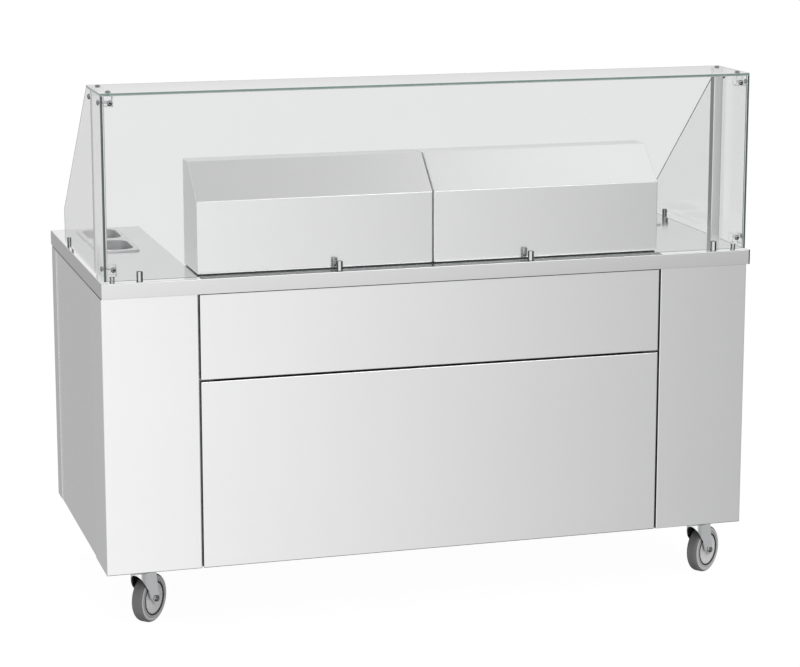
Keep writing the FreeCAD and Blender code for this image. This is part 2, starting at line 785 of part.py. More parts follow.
def grease_filter(word, side):
    """Slotted grease filter that pulls out of the hood's window towards the cook."""
    name = f"{word}_grease_filter"
    body = new_body(name)
    put(body, f"{side} * {HOOD_MIDDLE}", BAY_FRONT, WINDOW_LOW)
    half = f"({WINDOW_WIDTH} / 2 - filter_clearance)"
    height = "(window_high - window_low - filter_clearance)"
    frame = sketch_on(body, "XZ_Plane", f"{name}_frame")
    outline(frame, rectangle(f"-{half}", half, "0", height))
    feature(body, "Pad", frame, "filter_thickness")
    slot = sketch_on(body, "XZ_Plane", f"{name}_slot")
    first = f"(filter_frame - {half})"
    slot_z = ("filter_frame", f"{height} - filter_frame")
    outline(slot, rectangle(first, f"{first} + filter_slot", *slot_z))
    cut = feature(body, "Pocket", slot, "filter_thickness", reverse=True)
    run = f"2 * {half} - 2 * filter_frame - filter_slot"
    pattern = body.newObject("PartDesign::LinearPattern", f"{name}_slots")
    pattern.Originals = [cut]
    pattern.Direction = (slot, ["H_Axis"])
    pattern.setExpression("Occurrences", bound(f"floor(({run}) / filter_pitch) + 1"))
    pattern.setExpression("Length", bound(f"floor(({run}) / filter_pitch) * filter_pitch"))
    body.Tip = pattern
    node(body, name)


# Fans and air cleaning


IMPELLER_FRONT = f"({PLENUM_BACK} + impeller_clearance)"
IMPELLER_BACK = f"({IMPELLER_FRONT} + impeller_width)"
FAN_PLATE_FRONT = f"({IMPELLER_BACK} + fan_plate_gap)"
FAN_PLATE_BACK = f"({FAN_PLATE_FRONT} + fan_plate_thickness)"


def fan_bracket(word, side):
    """Motor plate held off the plenum wall on four spacer rods."""
    x = f"({side} * fan_spread)"
    half = "(fan_plate / 2)"
    plate_y = (FAN_PLATE_FRONT, FAN_PLATE_BACK)
    plate = block(
        f"{word}_fan_plate",
        (f"{x} - {half}", f"{x} + {half}"),
        plate_y,
        (f"fan_height - {half}", f"fan_height + {half}"),
    )
    bore = rod(f"{word}_fan_bore", "y", "fan_plate_bore", x, plate_y, "fan_height")
    reach = f"({half} - fan_rod_inset)"
    rods = []
    for place, (across, up) in enumerate(((-1, -1), (1, -1), (1, 1), (-1, 1))):
        spot = (f"{x} + {across} * {reach}", (PLENUM_BACK, FAN_PLATE_FRONT), f"fan_height + {up} * {reach}")
        rods.append(rod(f"{word}_fan_rod_{place}", "y", "fan_rod_radius", *spot))
    return joined(f"{word}_fan_bracket", less(f"{word}_fan_holed", plate, bore), *rods)


def fan_motor(word, side):
    """Motor can behind its plate, bored for the impeller's shaft."""
    x = f"{side} * fan_spread"
    can_y = (FAN_PLATE_BACK, f"{FAN_PLATE_BACK} + motor_length")
    bore_y = (FAN_PLATE_BACK, f"{FAN_PLATE_BACK} + motor_bore_depth")
    can = rod(f"{word}_motor_can", "y", "motor_radius", x, can_y, "fan_height")
    bore = rod(f"{word}_motor_bore", "y", "fan_shaft_radius + running_clearance", x, bore_y, "fan_height")
    return less(f"{word}_motor", can, bore)


def impeller(word, side):
    """Backward-leaning fan wheel on its own shaft; the body's X axis is the shaft."""
    name = f"{word}_impeller"
    disc = "(impeller_width - sheet)"
    body = turned(
        name,
        [
            (f"({disc} - hub_length)", "0"),
            (f"({disc} - hub_length)", "hub_radius"),
            (disc, "hub_radius"),
            (disc, "impeller_radius"),
            ("impeller_width", "impeller_radius"),
            ("impeller_width", "fan_shaft_radius"),
            ("(impeller_width + shaft_length)", "fan_shaft_radius"),
            ("(impeller_width + shaft_length)", "0"),
        ],
    )
    turn = FreeCAD.Rotation(FreeCAD.Vector(0, 0, 1), 90)
    put(body, f"{side} * fan_spread", IMPELLER_FRONT, "fan_height", turn)
    ring = sketch_on(body, "YZ_Plane", f"{name}_ring")
    circle(ring, "0", "0", "impeller_radius")
    circle(ring, "0", "0", "inlet_radius")
    feature(body, "Pad", ring, "sheet")
    blade = sketch_on(body, "YZ_Plane", f"{name}_blade")
    chord = "(impeller_radius - blade_inner_radius)"
    tip = (f"blade_inner_radius + {chord} * cos(blade_lean)", f"-{chord} * sin(blade_lean)")
    offset = ("blade_thickness * sin(blade_lean)", "blade_thickness * cos(blade_lean)")
    outline(
        blade,
        [
            ("blade_inner_radius", "0"),
            tip,
            (f"{tip[0]} + {offset[0]}", f"{tip[1]} + {offset[1]}"),
            (f"blade_inner_radius + {offset[0]}", offset[1]),
        ],
    )
    vane = feature(body, "Pad", blade, "impeller_width")
    pattern = body.newObject("PartDesign::PolarPattern", f"{name}_blades")
    pattern.Originals = [vane]
    pattern.Axis = (blade, ["N_Axis"])
    pattern.Angle = 360
    pattern.setExpression("Occurrences", bound("blade_count"))
    body.Tip = pattern
    node(body, name)


def charcoal_filter(word, side):
    """Charcoal cassette standing on the base plate behind a door."""
    x = span(side, "charcoal_inset", f"{BAY_SIDE} - charcoal_inset")
    back = f"({DOOR_FRONT} - charcoal_door_gap)"
    front = f"({back} - charcoal_thickness)"
    z = (FLOOR_TOP, f"({DOOR_HIGH} - charcoal_top_gap)")
    case = block(f"{word}_charcoal_case", x, (front, back), z)
    face_x = tuple(f"{place} {sign} charcoal_frame" for place, sign in zip(x, "+-"))
    face_z = tuple(f"{place} {sign} charcoal_frame" for place, sign in zip(z, "+-"))
    faces = (
        block(f"{word}_charcoal_front", face_x, (front, f"{front} + charcoal_recess"), face_z),
        block(f"{word}_charcoal_back", face_x, (f"{back} - charcoal_recess", back), face_z),
    )
    return less(f"{word}_charcoal", case, *faces)


# Control panel


def sockets():
    """Flush mains sockets, one for each cooker."""
    made = []
    face = f"({CONTROL_BACK} + socket_flange_thickness)"
    for place in (-1, 0, 1):
        name = f"socket_{place + 2}"
        x = f"({place} * socket_pitch)"
        half = "(socket_flange / 2)"
        flange = block(
            f"{name}_flange",
            (f"{x} - {half}", f"{x} + {half}"),
            (CONTROL_BACK, face),
            (f"{CONTROL_LINE} - {half}", f"{CONTROL_LINE} + {half}"),
        )
        barrel_y = (f"{CONTROL_BACK} - socket_length", CONTROL_BACK)
        barrel = rod(f"{name}_barrel", "y", "socket_radius", x, barrel_y, CONTROL_LINE)
        floor = f"({face} - socket_recess_depth)"
        recess = rod(f"{name}_recess", "y", "socket_recess_radius", x, (floor, face), CONTROL_LINE)
        pins = [
            rod(
                f"{name}_pin_{word}",
                "y",
                "socket_pin_radius",
                f"{x} + {side} * socket_pin_spread",
                (f"{floor} - socket_pin_depth", floor),
                CONTROL_LINE,
            )
            for word, side in SIDES.items()
        ]
        made.append(less(name, joined(f"{name}_shell", flange, barrel), recess, *pins))
    group("sockets", made)


def control_panel():
    """Recessed strip under the shelf with holes for the sockets, the knob and the switch."""
    y = (f"{CONTROL_BACK} - sheet", CONTROL_BACK)
    strip = block("control_sheet", (f"-{BAY_SIDE}", BAY_SIDE), y, (CONTROL_LOW, SHELF_UNDER))
    holes = []
    for place in (-1, 0, 1):
        x = f"{place} * socket_pitch"
        radius = "socket_radius + hole_clearance"
        holes.append(rod(f"socket_hole_{place + 2}", "y", radius, x, y, CONTROL_LINE))
    for word, x in (("fan_knob", KNOB_X), ("switch", SWITCH_X)):
        radius = "knob_shaft_radius + running_clearance"
        holes.append(rod(f"{word}_hole", "y", radius, x, y, CONTROL_LINE))
    node(less("control_panel", strip, *holes), "control_panel")


def knob_parts(name, x):
    """Shaft and skirt that the fan knob and the main switch share."""
    seat = f"({CONTROL_BACK} + knob_gap)"
    shaft_y = (f"{seat} - knob_shaft_length", seat)
    shaft = rod(f"{name}_shaft", "y", "knob_shaft_radius", x, shaft_y, CONTROL_LINE)
    skirt = rod(f"{name}_skirt", "y", "knob_radius", x, (seat, f"{seat} + knob_skirt"), CONTROL_LINE)
    return seat, [shaft, skirt]


def fan_knob():
    """Fan speed knob with a raised pointer."""
    x = KNOB_X
    seat, pieces = knob_parts("fan_knob", x)
    top = f"({seat} + knob_height)"
    grip = rod("fan_knob_grip", "y", "knob_grip_radius", x, (f"{seat} + knob_skirt", top), CONTROL_LINE)
    pointer = block(
        "fan_knob_pointer",
        (f"{x} - pointer_width / 2", f"{x} + pointer_width / 2"),
        (top, f"{top} + pointer_height"),
        (CONTROL_LINE, f"{CONTROL_LINE} + knob_grip_radius - pointer_width"),
    )
    node(joined("fan_knob", *pieces, grip, pointer), "fan_knob")


def main_switch():
    """Rotary main switch with a bar grip."""
    x = SWITCH_X
    seat, pieces = knob_parts("main_switch", x)
    bar = block(
        "main_switch_bar",
        (f"{x} - switch_bar_width / 2", f"{x} + switch_bar_width / 2"),
        (f"{seat} + knob_skirt", f"{seat} + knob_height"),
        (f"{CONTROL_LINE} - knob_radius + pointer_width", f"{CONTROL_LINE} + knob_radius - pointer_width"),
    )
    node(joined("main_switch", *pieces, bar), "main_switch")


# Doors


def door(word, side):
    """Folded sheet door with exhaust louvres and a bored boss for the hinge pin above and below."""
    name = f"{word}_door"
    outer = f"({BAY_SIDE} - door_side_gap)"
    x = span(side, "door_gap / 2", outer)
    y = (DOOR_FRONT, DOOR_BACK)
    leaf = block(f"{name}_leaf", x, y, (DOOR_LOW, DOOR_HIGH))
    hollow = block(
        f"{name}_hollow",
        span(side, "door_gap / 2 + sheet", f"{outer} - sheet"),
        (DOOR_FRONT, f"{DOOR_BACK} - sheet"),
        (f"{DOOR_LOW} + sheet", f"{DOOR_HIGH} - sheet"),
    )
    boss_x = span(side, f"{HINGE_X} - hinge_boss / 2", outer)
    bosses = (
        block(f"{name}_low_boss", boss_x, y, (DOOR_LOW, f"{DOOR_LOW} + hinge_boss")),
        block(f"{name}_high_boss", boss_x, y, (f"{DOOR_HIGH} - hinge_boss", DOOR_HIGH)),
    )
    shell = joined(f"{name}_shell", less(f"{name}_tray", leaf, hollow), *bosses)
    depth = "(hinge_pin_length + door_clearance)"
    bore = "hinge_pin_radius + running_clearance"
    hinge = f"{side} * {HINGE_X}"
    cuts = [
        rod(f"{name}_low_bore", "z", bore, hinge, HINGE_Y, (DOOR_LOW, f"{DOOR_LOW} + {depth}")),
        rod(f"{name}_high_bore", "z", bore, hinge, HINGE_Y, (f"{DOOR_HIGH} - {depth}", DOOR_HIGH)),
    ]
    middle = f"({side} * {BAY_SIDE} / 2)"
    slot_x = (f"{middle} - louvre_width / 2", f"{middle} + louvre_width / 2")
    for row in range(int(number("louvre_count"))):
        low = f"({DOOR_LOW} + louvre_low + {row} * louvre_pitch)"
        cuts.append(block(f"{name}_louvre_{row}", slot_x, y, (low, f"{low} + louvre_height")))
    node(less(name, shell, *cuts), name)


def door_handle(word, side):
    """Bow handle: an upright bar on two posts."""
    name = f"{word}_door_handle"
    x = f"{side} * handle_inset"
    bar_y = f"({DOOR_BACK} + handle_standoff)"
    high = f"({DOOR_HIGH} - handle_drop)"
    low = f"({high} - handle_length)"
    pieces = [rod(f"{name}_bar", "z", "handle_radius", x, bar_y, (low, high))]
    for end, z in (("low", f"{low} + 2 * handle_radius"), ("high", f"{high} - 2 * handle_radius")):
        pieces.append(rod(f"{name}_{end}_post", "y", "handle_post_radius", x, (DOOR_BACK, bar_y), z))
    node(joined(name, *pieces), name)


def door_hinges():
    """Hinge leaves with fixed pins, one under and one over each door."""
    made = []
    for word, side in SIDES.items():
        leaf_x = span(side, f"{BAY_SIDE} - hinge_leaf_length", BAY_SIDE)
        leaf_y = (f"{HINGE_Y} - hinge_leaf_depth / 2", f"{HINGE_Y} + hinge_leaf_depth / 2")
        low = f"({FLOOR_TOP} + hinge_leaf)"
        high = f"({CONTROL_LOW} - hinge_leaf)"
        stacks = {
            "low": ((FLOOR_TOP, low), (low, f"{low} + hinge_pin_length")),
            "high": ((high, CONTROL_LOW), (f"{high} - hinge_pin_length", high)),
        }
        for end, (leaf_z, pin_z) in stacks.items():
            name = f"{word}_{end}_hinge"
            leaf = block(f"{name}_leaf", leaf_x, leaf_y, leaf_z)
            pin = rod(f"{name}_pin", "z", "hinge_pin_radius", f"{side} * {HINGE_X}", HINGE_Y, pin_z)
            made.append(joined(name, leaf, pin))
    group("door_hinges", made)


# Glass guard


SCREW_HOLE = "screw_shank_radius + screw_clearance"


def screw_places(side):
    """Where the screws at one end of the counter go through the front, end and top panes."""
    outer = f"({side} * {GLASS_SIDE})"
    clamp_x = f"({side} * {CLAMP_X})"
    post_x = f"({side} * {POST_X})"
    return {
        "front": [(clamp_x, HIGH_CLAMP_Z), (clamp_x, LOW_CLAMP_Z)],
        "side": [
            (outer, CLAMP_Y, HIGH_CLAMP_Z),
            (outer, CLAMP_Y, LOW_CLAMP_Z),
            (outer, POST_Y, HIGH_CLAMP_Z),
        ],
        "top": [(clamp_x, CLAMP_Y), (post_x, POST_Y)],
    }


def front_glass():
    edge = f"({GLASS_SIDE} - glass - pane_gap)"
    y = (GLASS_FRONT, f"({GLASS_FRONT} + glass)")
    pane = block("front_pane", (f"-{edge}", edge), y, (GLASS_FOOT, f"{GLASS_UNDER} - pane_gap"))
    holes = []
    for word, side in SIDES.items():
        for place, (x, z) in enumerate(screw_places(side)["front"]):
            holes.append(rod(f"front_hole_{word}_{place}", "y", SCREW_HOLE, x, y, z))
    node(less("front_glass", pane, *holes), "front_glass")


def top_glass():
    y = (GLASS_FRONT, f"({GLASS_FRONT} + glass_top_depth)")
    z = (GLASS_UNDER, GLASS_TOP)
    pane = block("top_pane", (f"-{GLASS_SIDE}", GLASS_SIDE), y, z)
    holes = []
    for word, side in SIDES.items():
        for place, (x, hole_y) in enumerate(screw_places(side)["top"]):
            holes.append(rod(f"top_hole_{word}_{place}", "z", SCREW_HOLE, x, hole_y, z))
    node(less("top_glass", pane, *holes), "top_glass")


def side_glass(word, side):
    """End pane: upright in front, sloping down behind the top pane to a low rear edge."""
    high = f"({GLASS_UNDER} - pane_gap)"
    back = f"({GLASS_FRONT} + side_glass_depth)"
    profile = [
        (GLASS_FRONT, GLASS_FOOT),
        (back, GLASS_FOOT),
        (back, "(worktop_height + side_glass_rear_height)"),
        (f"({GLASS_FRONT} + glass_top_depth)", high),
        (GLASS_FRONT, high),
    ]
    inner = f"{side} * ({GLASS_SIDE} - glass / 2)"
    pane = prism(f"{word}_pane", "YZ_Plane", profile, inner, "glass", both_ways=True)
    x = span(side, f"{GLASS_SIDE} - glass", GLASS_SIDE)
    holes = []
    for place, (_, y, z) in enumerate(screw_places(side)["side"]):
        holes.append(rod(f"{word}_hole_{place}", "x", SCREW_HOLE, x, y, z))
    node(less(f"{word}_glass", pane, *holes), f"{word}_glass")


def glass_post(word, side):
    """Square post under the top pane with a boss that meets the end pane."""
    half = "(post_size / 2)"
    x = f"({side} * {POST_X})"
    post = block(
        f"{word}_post_tube",
        (f"{x} - {half}", f"{x} + {half}"),
        (f"{POST_Y} - {half}", f"{POST_Y} + {half}"),
        ("worktop_height", GLASS_UNDER),
    )
    boss_x = span(side, f"{POST_X} + {half}", f"{GLASS_SIDE} - glass")
    boss = rod(f"{word}_post_boss", "x", "post_boss_radius", boss_x, POST_Y, HIGH_CLAMP_Z)
    return joined(f"{word}_post", post, boss)


CLAMP_SPANS = {
    "high": (f"({GLASS_UNDER} - clamp_size)", GLASS_UNDER),
    "low": (f"({LOW_CLAMP_Z} - clamp_screw)", f"({LOW_CLAMP_Z} - clamp_screw + clamp_size)"),
}


def corner_clamps():
    """Clear blocks inside the front corners that the panes are screwed to."""
    made = []
    for word, side in SIDES.items():
        x = span(side, f"{GLASS_SIDE} - glass - clamp_size", f"{GLASS_SIDE} - glass")
        y = (f"{GLASS_FRONT} + glass", f"{GLASS_FRONT} + glass + clamp_size")
        for end, z in CLAMP_SPANS.items():
            made.append(block(f"{word}_{end}_clamp", x, y, z))
    group("corner_clamps", made)


def screw(name, axis, sign, face, place):
    """Screw through a pane: a round head outside and a shank as long as the glass is thick."""
    inside = f"({face} - {sign} * glass)"
    outside = f"({face} + {sign} * screw_head_height)"
    shank_run = (inside, face) if sign > 0 else (face, inside)
    head_run = (face, outside) if sign > 0 else (outside, face)
    pieces = []
    stack = (("shank", "screw_shank_radius", shank_run), ("head", "screw_head_radius", head_run))
    for part, radius, run in stack:
        spot = dict(place)
        spot[axis] = run
        pieces.append(rod(f"{name}_{part}", axis, radius, spot["x"], spot["y"], spot["z"]))
    return joined(name, *pieces)


def glass_screws():
    made = []
    for word, side in SIDES.items():
        places = screw_places(side)
        for index, (x, z) in enumerate(places["front"]):
            made.append(screw(f"{word}_front_screw_{index}", "y", -1, GLASS_FRONT, {"x": x, "z": z}))
        for index, (x, y, z) in enumerate(places["side"]):
            made.append(screw(f"{word}_side_screw_{index}", "x", side, x, {"y": y, "z": z}))
        for index, (x, y) in enumerate(places["top"]):
            made.append(screw(f"{word}_top_screw_{index}", "z", 1, GLASS_TOP, {"x": x, "y": y}))
    group("glass_screws", made)


def glass_clips():
    """Slotted round clips that the front and end panes stand in, and the low clamps' studs."""
    slot = "(glass / 2 + clip_clearance)"
    z = ("worktop_height", "worktop_height + clip_height")
    front_y = f"({GLASS_FRONT} + glass / 2)"
    side_y = f"({FRONT} + side_clip_depth)"
    made = []
    for word, side in SIDES.items():
        far = f"({HALF} - front_clip_inset)"
        places = {
            "near": (f"{side} * {far} / 3", front_y, "y"),
            "far": (f"{side} * {far}", front_y, "y"),
            "side": (f"{side} * ({GLASS_SIDE} - glass / 2)", side_y, "x"),
        }
        for spot, (x, y, across) in places.items():
            name = f"{word}_{spot}_clip"
            half_x, half_y = (slot, "clip_radius") if across == "x" else ("clip_radius", slot)
            gap = block(
                f"{name}_slot",
                (f"{x} - {half_x}", f"{x} + {half_x}"),
                (f"{y} - {half_y}", f"{y} + {half_y}"),
                (GLASS_FOOT, "worktop_height + clip_height"),
            )
            made.append(less(name, rod(f"{name}_barrel", "z", "clip_radius", x, y, z), gap))
        stud_z = ("worktop_height", CLAMP_SPANS["low"][0])
        stud_x = f"{side} * {CLAMP_X}"
        made.append(rod(f"{word}_clamp_stud", "z", "clamp_stud_radius", stud_x, CLAMP_Y, stud_z))
    group("glass_clips", made)


# Castors


CASTORS = {
    "front_left": (f"-{CASTOR_X}", CASTOR_FRONT_Y),
    "front_right": (CASTOR_X, CASTOR_FRONT_Y),
    "back_left": (f"-{CASTOR_X}", CASTOR_BACK_Y),
    "back_right": (CASTOR_X, CASTOR_BACK_Y),
}


def castor_plates():
    """Bolt-on top plates with the upper race and the kingpin."""
    made = []
    for word, (x, y) in CASTORS.items():
        half_x = "(castor_plate_length / 2)"
        half_y = "(castor_plate_width / 2)"
        plate_low = "(castor_height - castor_plate_thickness)"
        plate = block(
            f"{word}_top_plate",
            (f"{x} - {half_x}", f"{x} + {half_x}"),
            (f"{y} - {half_y}", f"{y} + {half_y}"),
            (plate_low, "castor_height"),
        )
        head_top = f"({CROWN_LOW} - swivel_gap)"
        race = rod(f"{word}_race", "z", "race_radius", x, y, (RACE_LOW, plate_low))
        pin = rod(f"{word}_kingpin", "z", "kingpin_radius", x, y, (head_top, RACE_LOW))
        head_z = (f"{head_top} - kingpin_head", head_top)
        head = rod(f"{word}_kingpin_head", "z", "kingpin_head_radius", x, y, head_z)
        made.append(joined(f"{word}_castor_plate", plate, race, pin, head))
    group("castor_plates", made)


def heading_turn(word, extra=0):
    """Rotation about the swivel axis that points a castor's trail along its heading."""
    return FreeCAD.Rotation(FreeCAD.Vector(0, 0, 1), number(f"{word}_heading") + extra)


BRAKE_U = "(castor_trail + brake_pivot_reach)"
BRAKE_Z = "(wheel_radius + brake_pivot_height)"


def castor_fork(word, x, y):
    """Pressed swivel fork with its axle bolt; the back ones carry the brake pedal's pin too."""
    braked = word.startswith("back")
    name = f"{word}_fork"
    body = new_body(f"{name}_frame")
    put(body, x, y, "0", heading_turn(word))
    crown = sketch_on(body, "XY_Plane", f"{name}_crown", CROWN_LOW)
    circle(crown, "0", "0", "fork_crown_radius")
    circle(crown, "0", "0", "kingpin_radius + running_clearance")
    feature(body, "Pad", crown, "fork_crown")
    leg = sketch_on(body, "XZ_Plane", f"{name}_leg")
    foot = "(wheel_radius - fork_leg_end)"
    corners = [
        ("0", CROWN_LOW),
        ("0", f"({CROWN_LOW} - fork_side_drop)"),
        ("(castor_trail - fork_leg_end)", foot, "fork_leg_round"),
        ("(castor_trail + fork_leg_end)", foot, "fork_leg_round"),
    ]
    if braked:
        corners += [
            (f"({BRAKE_U} + brake_lug)", f"({BRAKE_Z} - brake_lug)"),
            (f"({BRAKE_U} + brake_lug)", CROWN_LOW),
        ]
    corners += [("fork_leg_top", CROWN_LOW)]
    outline(leg, corners)
    feature(body, "Pad", leg, f"2 * {FORK_OUTER}", both_ways=True)
    gap = sketch_on(body, "XZ_Plane", f"{name}_gap")
    reach = "(castor_trail + wheel_radius)"
    outline(gap, rectangle(f"-{reach}", f"2 * {reach}", "0", CROWN_LOW))
    feature(body, "Pocket", gap, "fork_inner_width", both_ways=True)
    fork_front(body, name)
    bores = sketch_on(body, "XZ_Plane", f"{name}_bores")
    circle(bores, "castor_trail", "wheel_radius", "axle_radius + running_clearance")
    if braked:
        circle(bores, BRAKE_U, BRAKE_Z, "brake_pin_radius + running_clearance")
    feature(body, "Pocket", bores, f"2 * {FORK_OUTER}", both_ways=True)
    pieces = [body, axle_bolt(word, x, y)]
    if braked:
        pieces.append(brake_pin(word, x, y))
    group(name, pieces)


def fork_front(body, name):
    """Rounded front between a fork's legs, sloped along its lower edge."""
    side_low = f"({CROWN_LOW} - fork_side_drop)"
    front_low = f"({CROWN_LOW} - fork_front_drop)"
    bend = sketch_on(body, "XY_Plane", f"{name}_front", side_low)
    inside_round = f"({FORK_ROUND} - fork_leg)"
    outline(
        bend,
        [
            ("0", FORK_OUTER),
            ("0", FORK_INNER),
            (f"-{FORK_INNER}", FORK_INNER, inside_round),
            (f"-{FORK_INNER}", f"-{FORK_INNER}", inside_round),
            ("0", f"-{FORK_INNER}"),
            ("0", f"-{FORK_OUTER}"),
            (f"-{FORK_OUTER}", f"-{FORK_OUTER}", FORK_ROUND),
            (f"-{FORK_OUTER}", FORK_OUTER, FORK_ROUND),
        ],
    )
    feature(body, "Pad", bend, "fork_side_drop")
    slope = sketch_on(body, "XZ_Plane", f"{name}_slope")
    ahead = f"-(2 * {FORK_OUTER})"
    outline(slope, [("0", side_low), (f"-{FORK_OUTER}", front_low), (ahead, front_low), (ahead, side_low)])
    feature(body, "Pocket", slope, f"2 * {FORK_OUTER}", both_ways=True)


def axle_bolt(word, x, y):
    """Bolt through both fork legs, headed at each end; the body's X axis is the axle."""
    head = f"({FORK_OUTER} + axle_head)"
    bolt = turned(
        f"{word}_axle",
        [
            (f"-{head}", "0"),
            (f"-{head}", "axle_head_radius"),
            (f"-{FORK_OUTER}", "axle_head_radius"),
            (f"-{FORK_OUTER}", "axle_radius"),
            (FORK_OUTER, "axle_radius"),
            (FORK_OUTER, "axle_head_radius"),
            (head, "axle_head_radius"),
            (head, "0"),
        ],
    )
    return on_axle(bolt, word, x, y, "castor_trail", "wheel_radius")


def brake_pin(word, x, y):
    """Pin across the fork legs that the brake pedal turns on."""
    pin = turned(
        f"{word}_brake_pin",
        [
            (f"-{FORK_OUTER}", "0"),
            (f"-{FORK_OUTER}", "brake_pin_radius"),
            (FORK_OUTER, "brake_pin_radius"),
            (FORK_OUTER, "0"),
        ],
    )
    return on_axle(pin, word, x, y, BRAKE_U, BRAKE_Z)


def on_axle(body, word, x, y, reach, height):
    """Put a turned body across the fork, at a reach along the trail and a height."""
    place_x = f"{x} + {reach} * cos({word}_heading)"
    place_y = f"{y} + {reach} * sin({word}_heading)"
    return put(body, place_x, place_y, height, heading_turn(word, 90))


def castor_wheel(word, x, y):
    """Wheel centre and rubber tyre, both turned about the axle."""
    hub_half = "(hub_width / 2)"
    web_half = "(wheel_web / 2)"
    tyre_half = "(tyre_width / 2)"
    rim_inside = "(rim_radius - rim_wall)"
    bore = "(axle_radius + running_clearance)"
    centre = turned(
        f"{word}_wheel",
        [
            (f"-{hub_half}", bore),
            (f"-{hub_half}", "wheel_hub_radius"),
            (f"-{web_half}", "wheel_hub_radius"),
            (f"-{web_half}", rim_inside),
            (f"-{tyre_half}", rim_inside),
            (f"-{tyre_half}", "rim_radius"),
            (tyre_half, "rim_radius"),
            (tyre_half, rim_inside),
            (web_half, rim_inside),
            (web_half, "wheel_hub_radius"),
            (hub_half, "wheel_hub_radius"),
            (hub_half, bore),
        ],
    )
    node(on_axle(centre, word, x, y, "castor_trail", "wheel_radius"), f"{word}_wheel")
    tyre = turned(
        f"{word}_tyre",
        [
            (f"-{tyre_half}", "rim_radius"),
            (f"-{tyre_half}", "wheel_radius", "tyre_round"),
            (tyre_half, "wheel_radius", "tyre_round"),
            (tyre_half, "rim_radius"),
        ],
    )
    node(on_axle(tyre, word, x, y, "castor_trail", "wheel_radius"), f"{word}_tyre")


def brake_pedal(word, x, y):
    """Foot pedal behind the fork, with a shoe over the tyre."""
    name = f"{word}_brake_pedal"
    body = new_body(name)
    put(body, x, y, "0", heading_turn(word))
    plate = sketch_on(body, "XZ_Plane", f"{name}_plate")
    top = f"({BRAKE_Z} + brake_plate / 2)"
    low = f"({BRAKE_Z} - brake_plate / 2)"
    toe = f"({BRAKE_U} + brake_length)"
    shoe = f"({BRAKE_U} + brake_shoe_reach)"
    outline(
        plate,
        [
            (BRAKE_U, low),
            (shoe, f"({low} - brake_drop * brake_shoe_reach / brake_length)"),
            (shoe, f"({low} - brake_shoe_height)"),
            (f"({shoe} + brake_shoe_length)", f"({low} - brake_shoe_height)"),
            (
                f"({shoe} + brake_shoe_length)",
                f"({low} - brake_drop * (brake_shoe_reach + brake_shoe_length) / brake_length)",
            ),
            (toe, f"({low} - brake_drop)"),
            (toe, f"({top} - brake_drop)"),
            (BRAKE_U, top),
        ],
    )
    feature(body, "Pad", plate, "brake_width", both_ways=True)
    sleeve = sketch_on(body, "XZ_Plane", f"{name}_sleeve")
    circle(sleeve, BRAKE_U, BRAKE_Z, "brake_sleeve_radius")
    feature(body, "Pad", sleeve, "brake_width", both_ways=True)
    bore = sketch_on(body, "XZ_Plane", f"{name}_bore")
    circle(bore, BRAKE_U, BRAKE_Z, "brake_pin_radius + running_clearance")
    feature(body, "Pocket", bore, "brake_width", both_ways=True)
    node(body, name)


# Mains inlet


def cable_gland():
    """Gland under the base plate where the supply lead would come in."""
    x = "-gland_place"
    y = "gland_depth"
    nut_low = "(castor_height - gland_nut)"
    tip = f"({nut_low} - gland_dome)"
    nut = rod("gland_nut_body", "z", "gland_nut_radius", x, y, (nut_low, "castor_height"))
    dome = doc.addObject("Part::Cone", "gland_dome_body")
    dome.setExpression("Radius1", bound("gland_tip_radius"))
    dome.setExpression("Radius2", bound("gland_dome_radius"))
    dome.setExpression("Height", bound("gland_dome"))
    put(dome, x, y, tip)
    bore = rod("gland_bore_body", "z", "gland_bore", x, y, (tip, "castor_height"))
    node(less("cable_gland", joined("gland_shell", nut, dome), bore), "cable_gland")


def build():
    base_plate()
    centre_panel("lower_front_panel", "castor_height", "(seam_height - panel_gap / 2)")
    centre_panel("upper_front_panel", "(seam_height + panel_gap / 2)", PANEL_TOP)
    plenum_wall()
    bay_shelf()
    worktop()
    for word, side in SIDES.items():
        corner_panel(word, side)
        rear_panel(word, side)
        partition(word, side)
        hood(word, side)
        grease_filter(word, side)
        impeller(word, side)
        door(word, side)
        door_handle(word, side)
        side_glass(word, side)
    group("side_panels", [side_panel(word, side) for word, side in SIDES.items()])
    group("hood_gaskets", [hood_gasket(word, side) for word, side in SIDES.items()])
    group("fan_brackets", [fan_bracket(word, side) for word, side in SIDES.items()])
    group("fan_motors", [fan_motor(word, side) for word, side in SIDES.items()])
    group("charcoal_filters", [charcoal_filter(word, side) for word, side in SIDES.items()])
    group("glass_posts", [glass_post(word, side) for word, side in SIDES.items()])
    for place in pan_places():
        food_pan(*place)
    control_panel()
    sockets()
    fan_knob()
    main_switch()
    door_hinges()
    front_glass()
    top_glass()
    corner_clamps()
    glass_screws()
    glass_clips()
    castor_plates()
    for word, (x, y) in CASTORS.items():
        castor_fork(word, x, y)
        castor_wheel(word, x, y)
        if word.startswith("back"):
            brake_pedal(word, x, y)
    cable_gland()


def check():
    """Stop if anything failed to build."""
    for obj in doc.Objects:
        if "Invalid" in obj.State or "Error" in obj.State:
            raise RuntimeError(f"{obj.Label} did not build: {obj.State}")
    for obj in nodes:
        if obj.Shape.isNull() or not obj.Shape.isValid() or not obj.Shape.Solids:
            raise RuntimeError(f"{obj.Label} has no valid solid")


build()
doc.recompute()
check()
os.makedirs("parts", exist_ok=True)
for part_node in nodes:
    part_node.Shape.exportStep(f"parts/{part_node.Label}.step")
print(len(nodes), "nodes written")
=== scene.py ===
import json
import math

import bmesh
import bpy
from bpy.props import FloatProperty, FloatVectorProperty, IntProperty, PointerProperty
from mathutils import Matrix, Vector


